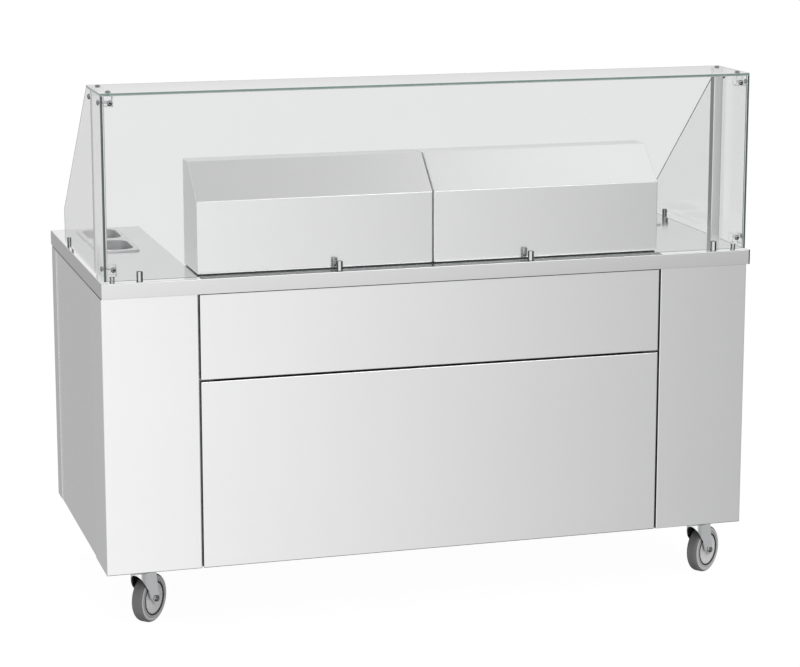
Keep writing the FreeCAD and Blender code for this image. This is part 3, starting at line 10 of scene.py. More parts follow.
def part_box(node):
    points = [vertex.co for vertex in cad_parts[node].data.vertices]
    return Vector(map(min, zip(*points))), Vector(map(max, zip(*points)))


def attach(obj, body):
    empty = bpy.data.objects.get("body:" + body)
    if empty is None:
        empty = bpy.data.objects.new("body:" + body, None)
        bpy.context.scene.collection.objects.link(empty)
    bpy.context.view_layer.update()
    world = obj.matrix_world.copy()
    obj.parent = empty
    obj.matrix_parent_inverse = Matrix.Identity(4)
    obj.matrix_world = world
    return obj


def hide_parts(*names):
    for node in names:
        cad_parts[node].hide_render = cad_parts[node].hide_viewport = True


bl_info = {
    "name": "Front-cooking station",
    "version": (1, 0, 0),
    "blender": (4, 5, 0),
    "location": "View3D > Sidebar > Station",
    "description": "Dresses the cooking station's solids in sheet steel, glass, chrome and rubber",
    "category": "Object",
}

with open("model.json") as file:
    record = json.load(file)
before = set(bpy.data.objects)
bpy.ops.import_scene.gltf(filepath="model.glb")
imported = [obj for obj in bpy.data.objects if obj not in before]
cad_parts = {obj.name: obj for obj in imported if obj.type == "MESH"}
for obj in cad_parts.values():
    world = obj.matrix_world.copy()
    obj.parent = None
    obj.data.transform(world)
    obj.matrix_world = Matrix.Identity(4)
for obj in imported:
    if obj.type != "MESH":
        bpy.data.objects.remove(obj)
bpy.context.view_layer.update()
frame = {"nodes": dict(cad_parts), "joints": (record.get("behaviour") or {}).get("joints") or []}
JOINTS = {joint["name"]: joint for joint in frame["joints"]}
SIDES = {"left": -1, "right": 1}
CASTORS = ("front_left", "front_right", "back_left", "back_right")
X, Y, Z = range(3)
NEAR = 1e-6  # slack when two places are compared
CLOSE = 1e-5  # slack after a cut or a rounding
CREASE = 0.4  # angle from which an edge of a sheet is a fold, in radians
SHARP = math.radians(40)  # angle from which an edge of a piece is rounded
SLIVER = 3e-5  # corners nearer to each other than this are joined after that
LEVEL = 0.98  # share of a normal along an axis from which a face is square to that axis
SQUARE_ON = 0.9  # share from which it is square to it but for a rounding
HALF_WAY = 0.7  # share at which it looks two ways alike
LEANING = 0.6  # share below which it looks more to another side
TURNED = 0.3  # share from which it looks partly that way
QUARTER = math.pi / 2


# Sizes and colours


def length(label, default, description):
    """Property for a length."""
    return FloatProperty(name=label, description=description, default=default, unit="LENGTH", precision=4)


def colour(label, default, description):
    """Property for a colour."""
    return FloatVectorProperty(name=label, description=description, default=default, subtype="COLOR")


class SheetSettings(bpy.types.PropertyGroup):
    """Folded sheet of the cabinet, the worktop and the hoods."""

    gauge: length("Gauge", 0.002, "Thickness of the sheet")
    bend: length("Bend", 0.0024, "Outer radius of a fold")
    burr: length("Edge", 0.0004, "Rounding of a cut edge")
    panel_return: length("Return", 0.018, "Depth of the folds round a panel")
    stainless: colour("Stainless", (0.80, 0.80, 0.805), "Colour of the satin sheet")
    # The two hoods are one steel: the left hood's colour is painted darker than the right's, as painted shade
    left_hood: colour("Left hood", (0.91, 0.91, 0.91), "Colour of the left hood's sheet")
    right_hood: colour("Right hood", (0.99, 0.99, 0.99), "Colour of the right hood's sheet")
    galvanised: colour("Galvanised", (0.42, 0.43, 0.44), "Colour of the inner sheet")


class GlassSettings(bpy.types.PropertyGroup):
    """Panes of the guard and the fittings that hold them."""

    pane: colour("Pane", (0.77, 0.776, 0.774), "Tint of light through a pane")
    end_pane: colour("End pane", (0.96, 0.968, 0.965), "Tint of light through an end pane")
    edge: colour("Edge", (0.20, 0.29, 0.27), "Colour of a cut glass edge")
    # An upright glass edge is painted darker than a level one, as painted shade
    deep_edge: colour("Upright edge", (0.05, 0.085, 0.08), "Colour of an upright glass edge")
    arris: length("Arris", 0.0006, "Chamfer along a glass edge")
    post_size: length("Post", 0.025, "Width of a square post")
    post_x: length("Post from middle", 0.819, "Distance of a post from the middle")
    post_y: length("Post depth", -0.238, "Place of a post across the counter")
    clamp_size: length("Clamp", 0.028, "Side of a clear corner block")
    clamp_screw: length("Clamp screw", 0.018, "Screw of a corner block from the panes")
    seam: length("Seam", 0.0003, "Gap between a corner block and a pane")
    stud_radius: length("Stud", 0.006, "Radius of a low block's stud")
    screw_radius: length("Screw head", 0.007, "Radius of a screw's head")
    screw_height: length("Screw height", 0.004, "Height of a screw's head")
    clip_radius: length("Clip", 0.008, "Radius of a slotted clip")
    clip_height: length("Clip height", 0.024, "Height of a slotted clip")


class CastorSettings(bpy.types.PropertyGroup):
    """Castors under the cabinet."""

    wheel_radius: length("Wheel", 0.0625, "Radius over the tyre")
    tyre_half: length("Tyre half width", 0.016, "Half of the tyre's width")
    rim_radius: length("Rim", 0.047, "Radius where the tyre meets the wheel")
    shoulder: length("Shoulder", 0.009, "Rounding of the tyre's shoulders")
    leg_inside: length("Leg", 0.019, "Inner face of a fork leg")
    leg_gauge: length("Leg gauge", 0.003, "Thickness of a fork leg")
    tread: colour("Tread", (0.20, 0.20, 0.205), "Colour of the tyre's tread")
    band: colour("Band", (0.64, 0.64, 0.645), "Colour of the tyre's side")
    centre: colour("Centre", (0.82, 0.82, 0.825), "Colour of the wheel's centre")


class CookSideSettings(bpy.types.PropertyGroup):
    """Doors, filters and controls on the cook's side."""

    louvres: IntProperty(name="Louvres", description="Rows of louvres in a door", default=6, min=1)
    louvre_width: length("Louvre width", 0.360, "Length of a louvre")
    louvre_height: length("Louvre height", 0.009, "Height of a louvre's slot")
    louvre_pitch: length("Louvre pitch", 0.022, "Distance between louvres")
    louvre_low: length("Lowest louvre", 0.050, "Lowest slot over the door's foot")
    baffle_pitch: length("Baffle pitch", 0.024, "Distance between filter baffles")
    socket_pitch: length("Socket pitch", 0.350, "Distance between sockets")
    switch_red: colour("Switch", (0.50, 0.02, 0.015), "Colour of the main switch")


class StageSettings(bpy.types.PropertyGroup):
    """Camera, lamps and floor."""

    camera_place: FloatVectorProperty(
        name="Camera",
        description="Where the camera stands",
        subtype="XYZ",
        default=(-1.79531, -6.14816, 2.00687),
    )
    heading: FloatProperty(
        name="Heading", description="Camera's turn to the right", subtype="ANGLE", default=math.radians(16.46)
    )
    tilt: FloatProperty(
        name="Tilt", description="Camera's tilt below level", subtype="ANGLE", default=math.radians(11.07)
    )
    lens: FloatProperty(name="Lens", description="Focal length in millimetres", default=109.86)
    shift: FloatProperty(name="Shift", description="Lens shift for the framing", default=-0.05)
    key: FloatProperty(name="Key lamp", description="Power of the key lamp", default=60.0, unit="POWER")
    fill: FloatProperty(name="Fill lamp", description="Power of the fill lamp", default=20.0, unit="POWER")
    ambient: FloatProperty(name="Ambient", description="Light from all round", default=0.62)
    floor: FloatProperty(name="Floor", description="Brightness of the floor", default=1.04)
    unshaded: FloatProperty(name="Unshaded", description="Share of the floor without shadow", default=0.93)


# Mesh tools


def new_verts(made):
    """Vertices among the geometry that an operator returned."""
    return [item for item in made["geom"] if isinstance(item, bmesh.types.BMVert)]


def wire(bm, points):
    """Open line through a few points."""
    verts = [bm.verts.new(point) for point in points]
    return verts, [bm.edges.new(pair) for pair in zip(verts, verts[1:])]


def draw_edges(bm, edges, step):
    """Extrude edges by a step into a strip of sheet."""
    verts = new_verts(bmesh.ops.extrude_edge_only(bm, edges=edges))
    bmesh.ops.translate(bm, vec=step, verts=verts)
    return verts


def draw_faces(bm, step):
    """Extrude all the faces of a flat mesh by a step into a solid."""
    made = bmesh.ops.extrude_face_region(bm, geom=bm.faces[:])
    bmesh.ops.translate(bm, vec=step, verts=new_verts(made))
    bmesh.ops.recalc_face_normals(bm, faces=bm.faces)
    return bm


def flat(bm, corners):
    """One flat face through its corners."""
    return bm.faces.new([bm.verts.new(corner) for corner in corners])


def flat_sheet(corners):
    """New mesh of one flat face."""
    bm = bmesh.new()
    flat(bm, corners)
    return bm


def solid(corners, step):
    """Flat outline drawn out by a step."""
    return draw_faces(flat_sheet(corners), step)


def rounded(bm, geom, radius, segments, affect="EDGES", finish=-1):
    """Round chosen edges, or the corners of a flat outline."""
    bmesh.ops.bevel(
        bm,
        geom=geom,
        offset=radius,
        offset_type="OFFSET",
        segments=segments,
        profile=0.5,
        affect=affect,
        clamp_overlap=affect == "EDGES",
        material=finish,
    )


def centre(edge):
    """Middle of an edge."""
    return (edge.verts[0].co + edge.verts[1].co) / 2


def rise(edge):
    """Difference in height between an edge's ends."""
    return abs(edge.verts[0].co.z - edge.verts[1].co.z)


def between(bm, verts):
    """Edges that run between given vertices."""
    return [edge for edge in bm.edges if all(vert in verts for vert in edge.verts)]


def fold(bm, radius):
    """Round every crease of a sheet to the bend radius."""
    bm.normal_update()
    creases = [edge for edge in bm.edges if len(edge.link_faces) == 2 and edge.calc_face_angle() > CREASE]
    rounded(bm, creases, radius, 4)


def thicken(bm, gauge, outward):
    """Give a sheet its wall, on the side away from a direction."""
    bmesh.ops.recalc_face_normals(bm, faces=bm.faces)
    widest = max(bm.faces, key=lambda face: face.calc_area())
    if widest.normal.dot(Vector(outward)) < 0:
        bmesh.ops.reverse_faces(bm, faces=bm.faces)
    bmesh.ops.solidify(bm, geom=bm.faces[:], thickness=gauge)


def folded(bm, sheet, outward):
    """Fold a sheet along its creases and give it its wall, by the settings for it."""
    fold(bm, sheet.bend)
    thicken(bm, sheet.gauge, outward)


def slit(bm, axis, place, faces=None):
    """Divide some faces, or all, along a plane across one axis."""
    normal = Vector((0, 0, 0))
    normal[axis] = 1
    faces = bm.faces[:] if faces is None else faces
    geometry = list(dict.fromkeys(item for face in faces for item in (*face.verts, *face.edges)))
    bmesh.ops.bisect_plane(bm, geom=geometry + faces, dist=1e-7, plane_co=normal * place, plane_no=normal)


def within(point, low, high, axes):
    """Whether a point lies between two corners, on the given axes."""
    return all(low[axis] - NEAR < point[axis] < high[axis] + NEAR for axis in axes)


def delete_within(bm, faces, low, high, axes):
    """Delete the faces whose middle lies between two corners."""
    inside = [face for face in faces if within(face.calc_center_median(), low, high, axes)]
    bmesh.ops.delete(bm, geom=inside, context="FACES")


def cut_opening(bm, low, high, axes):
    """Cut a rectangular opening out of a flat sheet."""
    for axis in axes:
        slit(bm, axis, low[axis])
        slit(bm, axis, high[axis])
    delete_within(bm, bm.faces, low, high, axes)


def mark(bm, choose):
    """Give each face the number of the finish that a function picks by its normal and its middle."""
    bm.normal_update()
    for face in bm.faces:
        face.material_index = int(choose(face.normal, face.calc_center_median()))
    return bm


def finished(bm, number):
    """Give all the faces of a mesh one of its piece's finishes."""
    return mark(bm, lambda normal, middle: number)


def block(low, high, number=0):
    """Box between two corners."""
    bm = bmesh.new()
    bmesh.ops.create_cube(bm, size=1.0)
    low, high = Vector(low), Vector(high)
    bmesh.ops.scale(bm, vec=high - low, verts=bm.verts)
    bmesh.ops.translate(bm, vec=(low + high) / 2, verts=bm.verts)
    return finished(bm, number)


def surround(low, high, width, across):
    """Mitred frame in the plane of X and one other axis."""
    bm = bmesh.new()
    loops = []
    for inset in (0.0, width):
        corners = []
        for right, up in ((0, 0), (1, 0), (1, 1), (0, 1)):
            corner = low.copy()
            corner.x = high.x - inset if right else low.x + inset
            corner[across] = high[across] - inset if up else low[across] + inset
            corners.append(bm.verts.new(corner))
        loops.append(corners)
    outer, inner = loops
    for place in range(4):
        beyond = (place + 1) % 4
        bm.faces.new((outer[place], outer[beyond], inner[beyond], inner[place]))
    depth = high - low
    depth.x = depth[across] = 0.0
    return draw_faces(bm, depth)


def lathe(profile, number=0, steps=48):
    """Shape turned about the X axis from (along, radius) points."""
    bm = bmesh.new()
    verts, edges = wire(bm, [(along, radius, 0) for along, radius in profile])
    bmesh.ops.spin(
        bm, geom=verts + edges, cent=(0, 0, 0), axis=(1, 0, 0), angle=math.tau, steps=steps, use_merge=True
    )
    bmesh.ops.remove_doubles(bm, verts=bm.verts, dist=NEAR)
    bmesh.ops.recalc_face_normals(bm, faces=bm.faces)
    return finished(bm, number)


def ring(profile, number=0, steps=48):
    """Turned shape with a closed profile."""
    return lathe(list(profile) + [profile[0]], number, steps)


def rod(start, end, radius, number=0, steps=24):
    """Plain turned bar."""
    return lathe([(start, 0), (start, radius), (end, radius), (end, 0)], number, steps)


def prism(segments, radius, end_radius, depth):
    """Upright bar with flat sides, about its middle."""
    bm = bmesh.new()
    bmesh.ops.create_cone(
        bm, cap_ends=True, cap_tris=False, segments=segments, radius1=radius, radius2=end_radius, depth=depth
    )
    return bm


def laid(bm, along):
    """Lay an upright bar along the X axis, its middle at a place."""
    bmesh.ops.rotate(bm, cent=(0, 0, 0), matrix=Matrix.Rotation(QUARTER, 3, "Y"), verts=bm.verts)
    bmesh.ops.translate(bm, vec=(along, 0, 0), verts=bm.verts)
    return bm


def hexagon(radius, low, high, number=0):
    """Six-sided bar along the X axis."""
    return finished(laid(prism(6, radius, radius, high - low), (low + high) / 2), number)


def aimed(origin, direction):
    """Matrix that lays a shape's X axis along a direction, from an origin."""
    turn = Vector((1, 0, 0)).rotation_difference(Vector(direction))
    return Matrix.Translation(origin) @ turn.to_matrix().to_4x4()


def moved(bm, place):
    """Move a mesh by a matrix."""
    bmesh.ops.transform(bm, matrix=place, verts=bm.verts)
    return bm


def add(bm, part, place=None):
    """Move a part to its place and join it to a mesh."""
    if place is not None:
        moved(part, place)
    data = bpy.data.meshes.new("part")
    part.to_mesh(data)
    part.free()
    bm.from_mesh(data)
    bpy.data.meshes.remove(data)


def make_piece(name, bm, body, finishes, node, edge=0.0, segments=2):
    """Turn a mesh into a piece: its finishes, its rounded edges and the body that it rides on."""
    data = bpy.data.meshes.new(name)
    bm.to_mesh(data)
    bm.free()
    for word in finishes.split():
        data.materials.append(finish(word))
    data.shade_smooth()
    piece = bpy.data.objects.new(name, data)
    bpy.context.scene.collection.objects.link(piece)
    if edge:
        rounding = piece.modifiers.new("rounded edges", "BEVEL")
        rounding.width = edge
        rounding.segments = segments
        rounding.limit_method = "ANGLE"
        rounding.angle_limit = SHARP
        joined = piece.modifiers.new("joined slivers", "WELD")
        joined.mode = "CONNECTED"
        joined.merge_threshold = SLIVER
    piece.modifiers.new("flat faces", "WEIGHTED_NORMAL").keep_sharp = True
    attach(piece, body)
    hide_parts(node)
    return piece


# Finishes


def add_node(tree, kind, **values):
    """Shader node with some of its settings."""
    made = tree.nodes.new(kind)
    for word, value in values.items():
        setattr(made, word, value)
    return made


def put(sockets, values):
    """Link or set some of a node's sockets."""
    for word, value in values.items():
        socket = sockets[word]
        if isinstance(value, bpy.types.NodeSocket):
            socket.id_data.links.new(value, socket)
        else:
            socket.default_value = value


def calculate(tree, operation, first, second):
    """Math node on two sockets or numbers."""
    made = add_node(tree, "ShaderNodeMath", operation=operation)
    put(made.inputs, {0: first, 1: second})
    return made.outputs[0]


def scaled(tree, vector, factor):
    """Colour or vector times a factor."""
    made = add_node(tree, "ShaderNodeVectorMath", operation="SCALE")
    put(made.inputs, {0: vector, "Scale": factor})
    return made.outputs[0]


def noise(tree, vector, **values):
    """Noise texture on a vector."""
    made = add_node(tree, "ShaderNodeTexNoise")
    put(made.inputs, {"Vector": vector, **values})
    return made.outputs[0]


def new_group(name, inputs):
    """Empty node group for a finish: its own inputs, and a colour, a roughness and a height out."""
    kinds = {"Colour": "NodeSocketColor", "Stretch": "NodeSocketVector"}
    group = bpy.data.node_groups.new(name, "ShaderNodeTree")
    for way, words in (("INPUT", inputs), ("OUTPUT", ("Colour", "Roughness", "Height"))):
        for word in words:
            kind = kinds.get(word, "NodeSocketFloat")
            group.interface.new_socket(name=word, in_out=way, socket_type=kind)
    return group, add_node(group, "NodeGroupInput").outputs, add_node(group, "NodeGroupOutput").inputs


def grain_group(name="drawn_grain"):
    """Fine drawn grain over a slow cloudiness, for sheet metal."""
    if name in bpy.data.node_groups:
        return bpy.data.node_groups[name]
    group, given, result = new_group(name, ("Colour", "Stretch", "Streak", "Roughness", "Cloud"))
    place = add_node(group, "ShaderNodeTexCoord").outputs["Object"]
    drawn = add_node(group, "ShaderNodeVectorMath", operation="MULTIPLY")
    put(drawn.inputs, {0: place, 1: given["Stretch"]})
    grain = noise(group, drawn.outputs[0], Scale=1.0, Detail=2.0)
    cloud = noise(group, place, Scale=3.1, Detail=3.0)
    swing = calculate(group, "SUBTRACT", grain, 0.5)
    drift = calculate(group, "SUBTRACT", cloud, 0.5)
    shade = calculate(group, "ADD", calculate(group, "MULTIPLY", swing, given["Streak"]), 1.0)
    rough = calculate(group, "ADD", given["Roughness"], calculate(group, "MULTIPLY", swing, 0.08))
    rough = calculate(group, "ADD", rough, calculate(group, "MULTIPLY", drift, given["Cloud"]))
    put(result, {"Colour": scaled(group, given["Colour"], shade), "Roughness": rough, "Height": grain})
    return group


def speckle_group(name="moulded_speckle"):
    """Moulded or cast texture: fine speckle, with a slow drift of shade."""
    if name in bpy.data.node_groups:
        return bpy.data.node_groups[name]
    group, given, result = new_group(name, ("Colour", "Scale", "Shade", "Roughness"))
    place = add_node(group, "ShaderNodeTexCoord").outputs["Object"]
    fine = noise(group, place, Scale=given["Scale"], Detail=3.0)
    slow = noise(group, place, Scale=14.0)
    swing = calculate(group, "SUBTRACT", fine, 0.5)
    both = calculate(group, "ADD", swing, calculate(group, "SUBTRACT", slow, 0.5))
    shade = calculate(group, "ADD", calculate(group, "MULTIPLY", both, given["Shade"]), 1.0)
    rough = calculate(group, "ADD", given["Roughness"], calculate(group, "MULTIPLY", both, 0.12))
    put(result, {"Colour": scaled(group, given["Colour"], shade), "Roughness": rough, "Height": fine})
    return group


def textured(name, group, values, bump, sockets):
    """Material whose colour, roughness and relief come from a node group."""
    material = bpy.data.materials.new(name)
    material.use_nodes = True
    tree = material.node_tree
    effect = add_node(tree, "ShaderNodeGroup", node_tree=group)
    put(effect.inputs, values)
    relief = add_node(tree, "ShaderNodeBump")
    put(relief.inputs, {"Strength": bump, "Distance": 0.0002, "Height": effect.outputs["Height"]})
    look = {"Base Color": effect.outputs["Colour"], "Roughness": effect.outputs["Roughness"]}
    put(tree.nodes["Principled BSDF"].inputs, {**look, "Normal": relief.outputs["Normal"], **sockets})
    return material


def scale_colour(material, kind, output, start, end, share):
    """Scale a finish to a share of its colour as a shader node's value goes from start to end."""
    tree = material.node_tree
    base = tree.nodes["Principled BSDF"].inputs["Base Color"]
    cause = add_node(tree, kind).outputs[output]
    factor = add_node(tree, "ShaderNodeMapRange")
    put(factor.inputs, {"Value": cause, "From Min": start, "From Max": end, "To Min": 1.0, "To Max": share})
    tree.links.new(scaled(tree, base.links[0].from_socket, factor.outputs["Result"]), base)


ALONG_X = (5.0, 420.0, 420.0)
ALONG_Y = (420.0, 5.0, 420.0)
ALONG_Z = (420.0, 420.0, 5.0)

# Sheet: colour, grain, roughness, streak, cloud, relief, metallic
SHEETS = {
    "satin_steel": ("sheet.stainless", ALONG_X, 0.23, 0.02, 0.05, 0.012, 1.0),
    "side_steel": ("sheet.stainless", ALONG_Y, 0.26, 0.01, 0.02, 0.003, 1.0),
    "counter_steel": ("sheet.stainless", ALONG_X, 0.15, 0.02, 0.05, 0.01, 1.0),
    # Painted shade: the lip, its ends and its top fold take darker copies of the counter's steel, and the
    # strip of counter before the hoods and the lip's right end take painted shadow
    "lip_steel": ((0.73, 0.73, 0.735), ALONG_X, 0.30, 0.02, 0.05, 0.01, 1.0),
    "lip_end_steel": ((0.63, 0.63, 0.635), ALONG_Y, 0.30, 0.02, 0.05, 0.01, 1.0),
    "bend_steel": ((0.42, 0.42, 0.425), ALONG_X, 0.30, 0.02, 0.05, 0.01, 1.0),
    "shade_steel": ((0.045, 0.045, 0.046), ALONG_X, 0.25, 0.02, 0.05, 0.01, 1.0),
    # A darker copy of the hood steel for the hoods' front fold: painted shade over the fold's highlight
    "fold_steel": ((0.66, 0.66, 0.665), ALONG_X, 0.30, 0.02, 0.05, 0.01, 1.0),
    # rear_steel is the satin steel painted darker: painted shade on the rear panels
    "rear_steel": ((0.69, 0.69, 0.695), ALONG_X, 0.23, 0.02, 0.05, 0.012, 1.0),
    # Painted shade: a dark copy of the steel for panel returns and the end walls' top edges, as shade in
    # seams and under the lip
    "mill_steel": ((0.20, 0.20, 0.205), ALONG_X, 0.45, 0.06, 0.08, 0.03, 1.0),
    # Both hoods are one steel: the left hood's sheet is painted darker than the right's, as painted shade
    "left_hood_steel": ("sheet.left_hood", ALONG_X, 0.17, 0.015, 0.04, 0.008, 1.0),
    "right_hood_steel": ("sheet.right_hood", ALONG_X, 0.17, 0.015, 0.04, 0.008, 1.0),
    "hood_end_steel": ("sheet.right_hood", ALONG_Y, 0.52, 0.015, 0.04, 0.008, 0.6),
    "filter_steel": ("sheet.stainless", ALONG_Z, 0.26, 0.05, 0.08, 0.03, 1.0),
    # pan_steel is painted darker than the sheet, as shade inside the pans, and rim_steel is painted white and
    # unmetallic, as a painted highlight on the rims
    "pan_steel": ((0.62, 0.62, 0.625), ALONG_Z, 0.22, 0.04, 0.1, 0.03, 1.0),
    "rim_steel": ((0.99, 0.99, 0.99), ALONG_X, 0.30, 0.02, 0.04, 0.005, 0.0),
    # The posts are one steel, painted lighter on their fronts and backs and darker on their sides: painted
    # light and shade
    "post_steel": ((0.86, 0.86, 0.865), ALONG_Z, 0.24, 0.03, 0.04, 0.03, 1.0),
    "post_side_steel": ((0.46, 0.46, 0.465), ALONG_Z, 0.24, 0.03, 0.04, 0.03, 1.0),
}
METAL = {"Metallic": 1.0}
# Plating, plastic, rubber and glass:
# colour, roughness, scale and shade of the speckle, relief, other sockets
CASTINGS = {
    "galvanised_sheet": ("sheet.galvanised", 0.42, 55.0, 0.35, 0.02, METAL),
    "bright_zinc": ((0.80, 0.81, 0.82), 0.24, 240.0, 0.06, 0.012, METAL),
    "shaded_zinc": ((0.035, 0.035, 0.037), 0.55, 240.0, 0.2, 0.03, {"Metallic": 0.6}),
    "bolt_zinc": ((0.20, 0.20, 0.205), 0.26, 500.0, 0.2, 0.03, METAL),
    "chrome_plate": ((0.74, 0.75, 0.76), 0.07, 160.0, 0.04, 0.01, METAL),
    # Chrome of the clips, painted darker where it turns away from the camera: painted shade at the sides and
    # a painted highlight down the middle
    "side_shaded_chrome": ((0.62, 0.625, 0.63), 0.10, 160.0, 0.08, 0.01, METAL),
    # screw_chrome is chrome painted dark, as painted reflection of dark surroundings in the screw heads
    "screw_chrome": ((0.26, 0.265, 0.27), 0.12, 160.0, 0.08, 0.01, METAL),
    "seal_rubber": ((0.012, 0.012, 0.012), 0.62, 900.0, 0.3, 0.08, {}),
    "tread_rubber": ("castor.tread", 0.62, 420.0, 0.18, 0.16, {}),
    "band_rubber": ("castor.band", 0.5, 420.0, 0.1, 0.08, {}),
    "wheel_plastic": ("castor.centre", 0.42, 700.0, 0.08, 0.08, {}),
    "guard_plastic": ((0.015, 0.015, 0.016), 0.45, 900.0, 0.12, 0.08, {}),
    "black_plastic": ((0.02, 0.02, 0.022), 0.40, 1600.0, 0.12, 0.12, {}),
    "socket_plastic": ((0.22, 0.23, 0.25), 0.28, 1500.0, 0.06, 0.05, {"Coat Weight": 0.2}),
    "switch_plastic": ("cook.switch_red", 0.30, 1500.0, 0.08, 0.08, {"Coat Weight": 0.3}),
    "mark_white": ((0.80, 0.80, 0.79), 0.5, 900.0, 0.05, 0.08, {}),
    "contact_brass": ((0.72, 0.52, 0.22), 0.25, 600.0, 0.12, 0.08, METAL),
    "motor_enamel": ((0.035, 0.036, 0.04), 0.36, 700.0, 0.2, 0.15, {}),
    "fan_nylon": ((0.045, 0.045, 0.05), 0.5, 800.0, 0.2, 0.08, {}),
    "charcoal_mat": ((0.022, 0.022, 0.023), 0.85, 330.0, 0.9, 0.9, {}),
    "clear_block": ((0.97, 0.975, 0.975), 0.02, 90.0, 0.02, 0.0, {"Transmission Weight": 1.0, "IOR": 1.04}),
    # block_edge paints the clear blocks' chamfers pale, as painted highlights along their edges
    "block_edge": ((0.86, 0.88, 0.88), 0.12, 90.0, 0.1, 0.01, {"Coat Weight": 0.4}),
    "pane_glass": ("glass.pane", 0.01, 2.0, 0.02, 0.0, {"Transmission Weight": 1.0, "IOR": 1.32}),
    "end_pane_glass": ("glass.end_pane", 0.01, 2.0, 0.02, 0.0, {"Transmission Weight": 1.0, "IOR": 1.32}),
    "glass_edge": ("glass.edge", 0.12, 60.0, 0.35, 0.02, {"Coat Weight": 0.5}),
    "deep_glass_edge": ("glass.deep_edge", 0.10, 60.0, 0.5, 0.02, {"Coat Weight": 0.5}),
}
# Painted light: the clips' chrome is painted darker where it turns away from the camera, which leaves a
# painted highlight down its middle; the shade on the counter is painted shade that is 16 times lighter in a
# mirror image
SCALED = {
    "side_shaded_chrome": ("ShaderNodeLayerWeight", "Facing", 0.06, 0.24, 0.07),
    "shade_steel": ("ShaderNodeLightPath", "Is Glossy Ray", 0.0, 1.0, 16.0),
}


def rgba(given):
    """Colour with full alpha, from three values or from the name of a setting."""
    if isinstance(given, str):
        group, word = given.split(".")
        given = getattr(getattr(bpy.context.scene, f"station_{group}"), word)
    return (*given, 1.0)


def finish(name):
    """A finish by name, built when it is first asked for."""
    if name in bpy.data.materials:
        return bpy.data.materials[name]
    if name in SHEETS:
        given, grain, roughness, streak, cloud, bump, metallic = SHEETS[name]
        values = {"Stretch": grain, "Streak": streak, "Cloud": cloud}
        group, sockets = grain_group(), {"Metallic": metallic}
    else:
        given, roughness, scale, shade, bump, sockets = CASTINGS[name]
        values = {"Scale": scale, "Shade": shade}
        group = speckle_group()
    made = textured(name, group, {"Colour": rgba(given), "Roughness": roughness, **values}, bump, sockets)
    if name in SCALED:
        scale_colour(made, *SCALED[name])
    return made


CARRIED_OVER = {
    "base_plate": "galvanised_sheet",
    "plenum_wall": "satin_steel",
    "left_partition": "side_steel",
    "right_partition": "side_steel",
    "control_panel": "satin_steel",
    "fan_brackets": "galvanised_sheet",
    "fan_motors": "motor_enamel",
    "left_impeller": "fan_nylon",
    "right_impeller": "fan_nylon",
    "charcoal_filters": "charcoal_mat",
    "door_hinges": "bright_zinc",
    "castor_plates": "bright_zinc",
}


# Operators


class STATION_OT_carried_over(bpy.types.Operator):
    """Finish the solids that keep their own shape"""

    bl_idname = "station.carried_over"
    bl_label = "Carried-over solids"

    def execute(self, context):
        for node, name in CARRIED_OVER.items():
            for slot in frame["nodes"][node].material_slots:
                slot.material = finish(name)
        return {"FINISHED"}


class STATION_OT_worktop(bpy.types.Operator):
    """Worktop sheet with its folded lip, the container cut-outs and the air slots"""

    bl_idname = "station.worktop"
    bl_label = "Worktop"

    rest: length("Rest", 0.008, "How far a container's rim reaches over the sheet")
    slot_side: length("Slot side", 0.022, "Air slot from a hood's ends")
    slot_front: length("Slot front", 0.030, "Air slot from a hood's front and back")
    end_shade: length("End shade", 0.004, "Width of the shaded right end of the lip")
    lip_top: length("Lip top", 0.010, "How far below the counter all is lip")

    def execute(self, context):
        sheet = context.scene.station_sheet
        low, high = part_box("worktop")
        foot, hood_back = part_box("left_hood")
        bay, bay_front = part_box("bay_shelf")[1].x - sheet.gauge, hood_back.y
        outline = [(low.x, low.y), (high.x, low.y), (high.x, high.y), (bay, high.y)]
        outline += [(bay, bay_front), (-bay, bay_front), (-bay, high.y), (low.x, high.y)]
        bm = flat_sheet([(x, y, high.z) for x, y in outline])
        rest, slot = Vector((self.rest, self.rest, 0)), Vector((self.slot_side, self.slot_front, 0))
        openings = []
        for word in SIDES:
            for node, inset in (("front_pan", rest), ("rear_pan", rest), ("hood", slot)):
                near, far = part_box(f"{word}_{node}")
                openings.append((near + inset, far - inset))
        for corners in openings:
            cut_opening(bm, *corners, (X, Y))
        for axis, place in ((X, foot.x), (X, -foot.x), (Y, foot.y)):
            slit(bm, axis, place)
        rim = []
        for edge in bm.edges:
            if edge.is_boundary and not any(within(centre(edge), *corners, (X, Y)) for corners in openings):
                rim.append(edge)
        draw_edges(bm, rim, (0, 0, low.z - high.z))
        fold(bm, sheet.bend)
        slit(bm, X, high.x - self.end_shade)
        thicken(bm, sheet.gauge, (0, 0, 1))
        self.round_lip(bm, low, high, sheet.gauge)
        counter, lip, lip_end, bend, shade = range(5)

        # Painted light and shade by place: the lip and its ends are painted darker than the counter, the top
        # fold is painted darker over its highlight, and the counter before the hoods and the lip's right end
        # are painted shadow
        def choose(normal, middle):
            upright = abs(normal.z) < LEANING or middle.z < high.z - self.lip_top
            corner = middle.x > high.x - self.end_shade and normal.y < -TURNED
            before_hoods = abs(middle.x) < -foot.x and middle.y < foot.y
            if corner or before_hoods and not upright:
                return shade
            if upright:
                return lip_end if abs(normal.x) > SQUARE_ON else lip
            return bend if normal.z < LEVEL else counter

        mark(bm, choose)
        finishes = "counter_steel lip_steel lip_end_steel bend_steel shade_steel"
        make_piece("worktop_sheet", bm, "station", finishes, "worktop", sheet.burr)
        return {"FINISHED"}

    def round_lip(self, bm, low, high, gauge):
        """Round the lower outer edge of the lip."""
        outer = []
        for edge in bm.edges:
            middle = centre(edge)
            at_foot = all(abs(vert.co.z - low.z) < CLOSE for vert in edge.verts)
            inward = min(middle.x - low.x, high.x - middle.x, middle.y - low.y, high.y - middle.y)
            if at_foot and inward < gauge * 0.6:
                outer.append(edge)
        rounded(bm, outer, gauge * 0.8, 3)


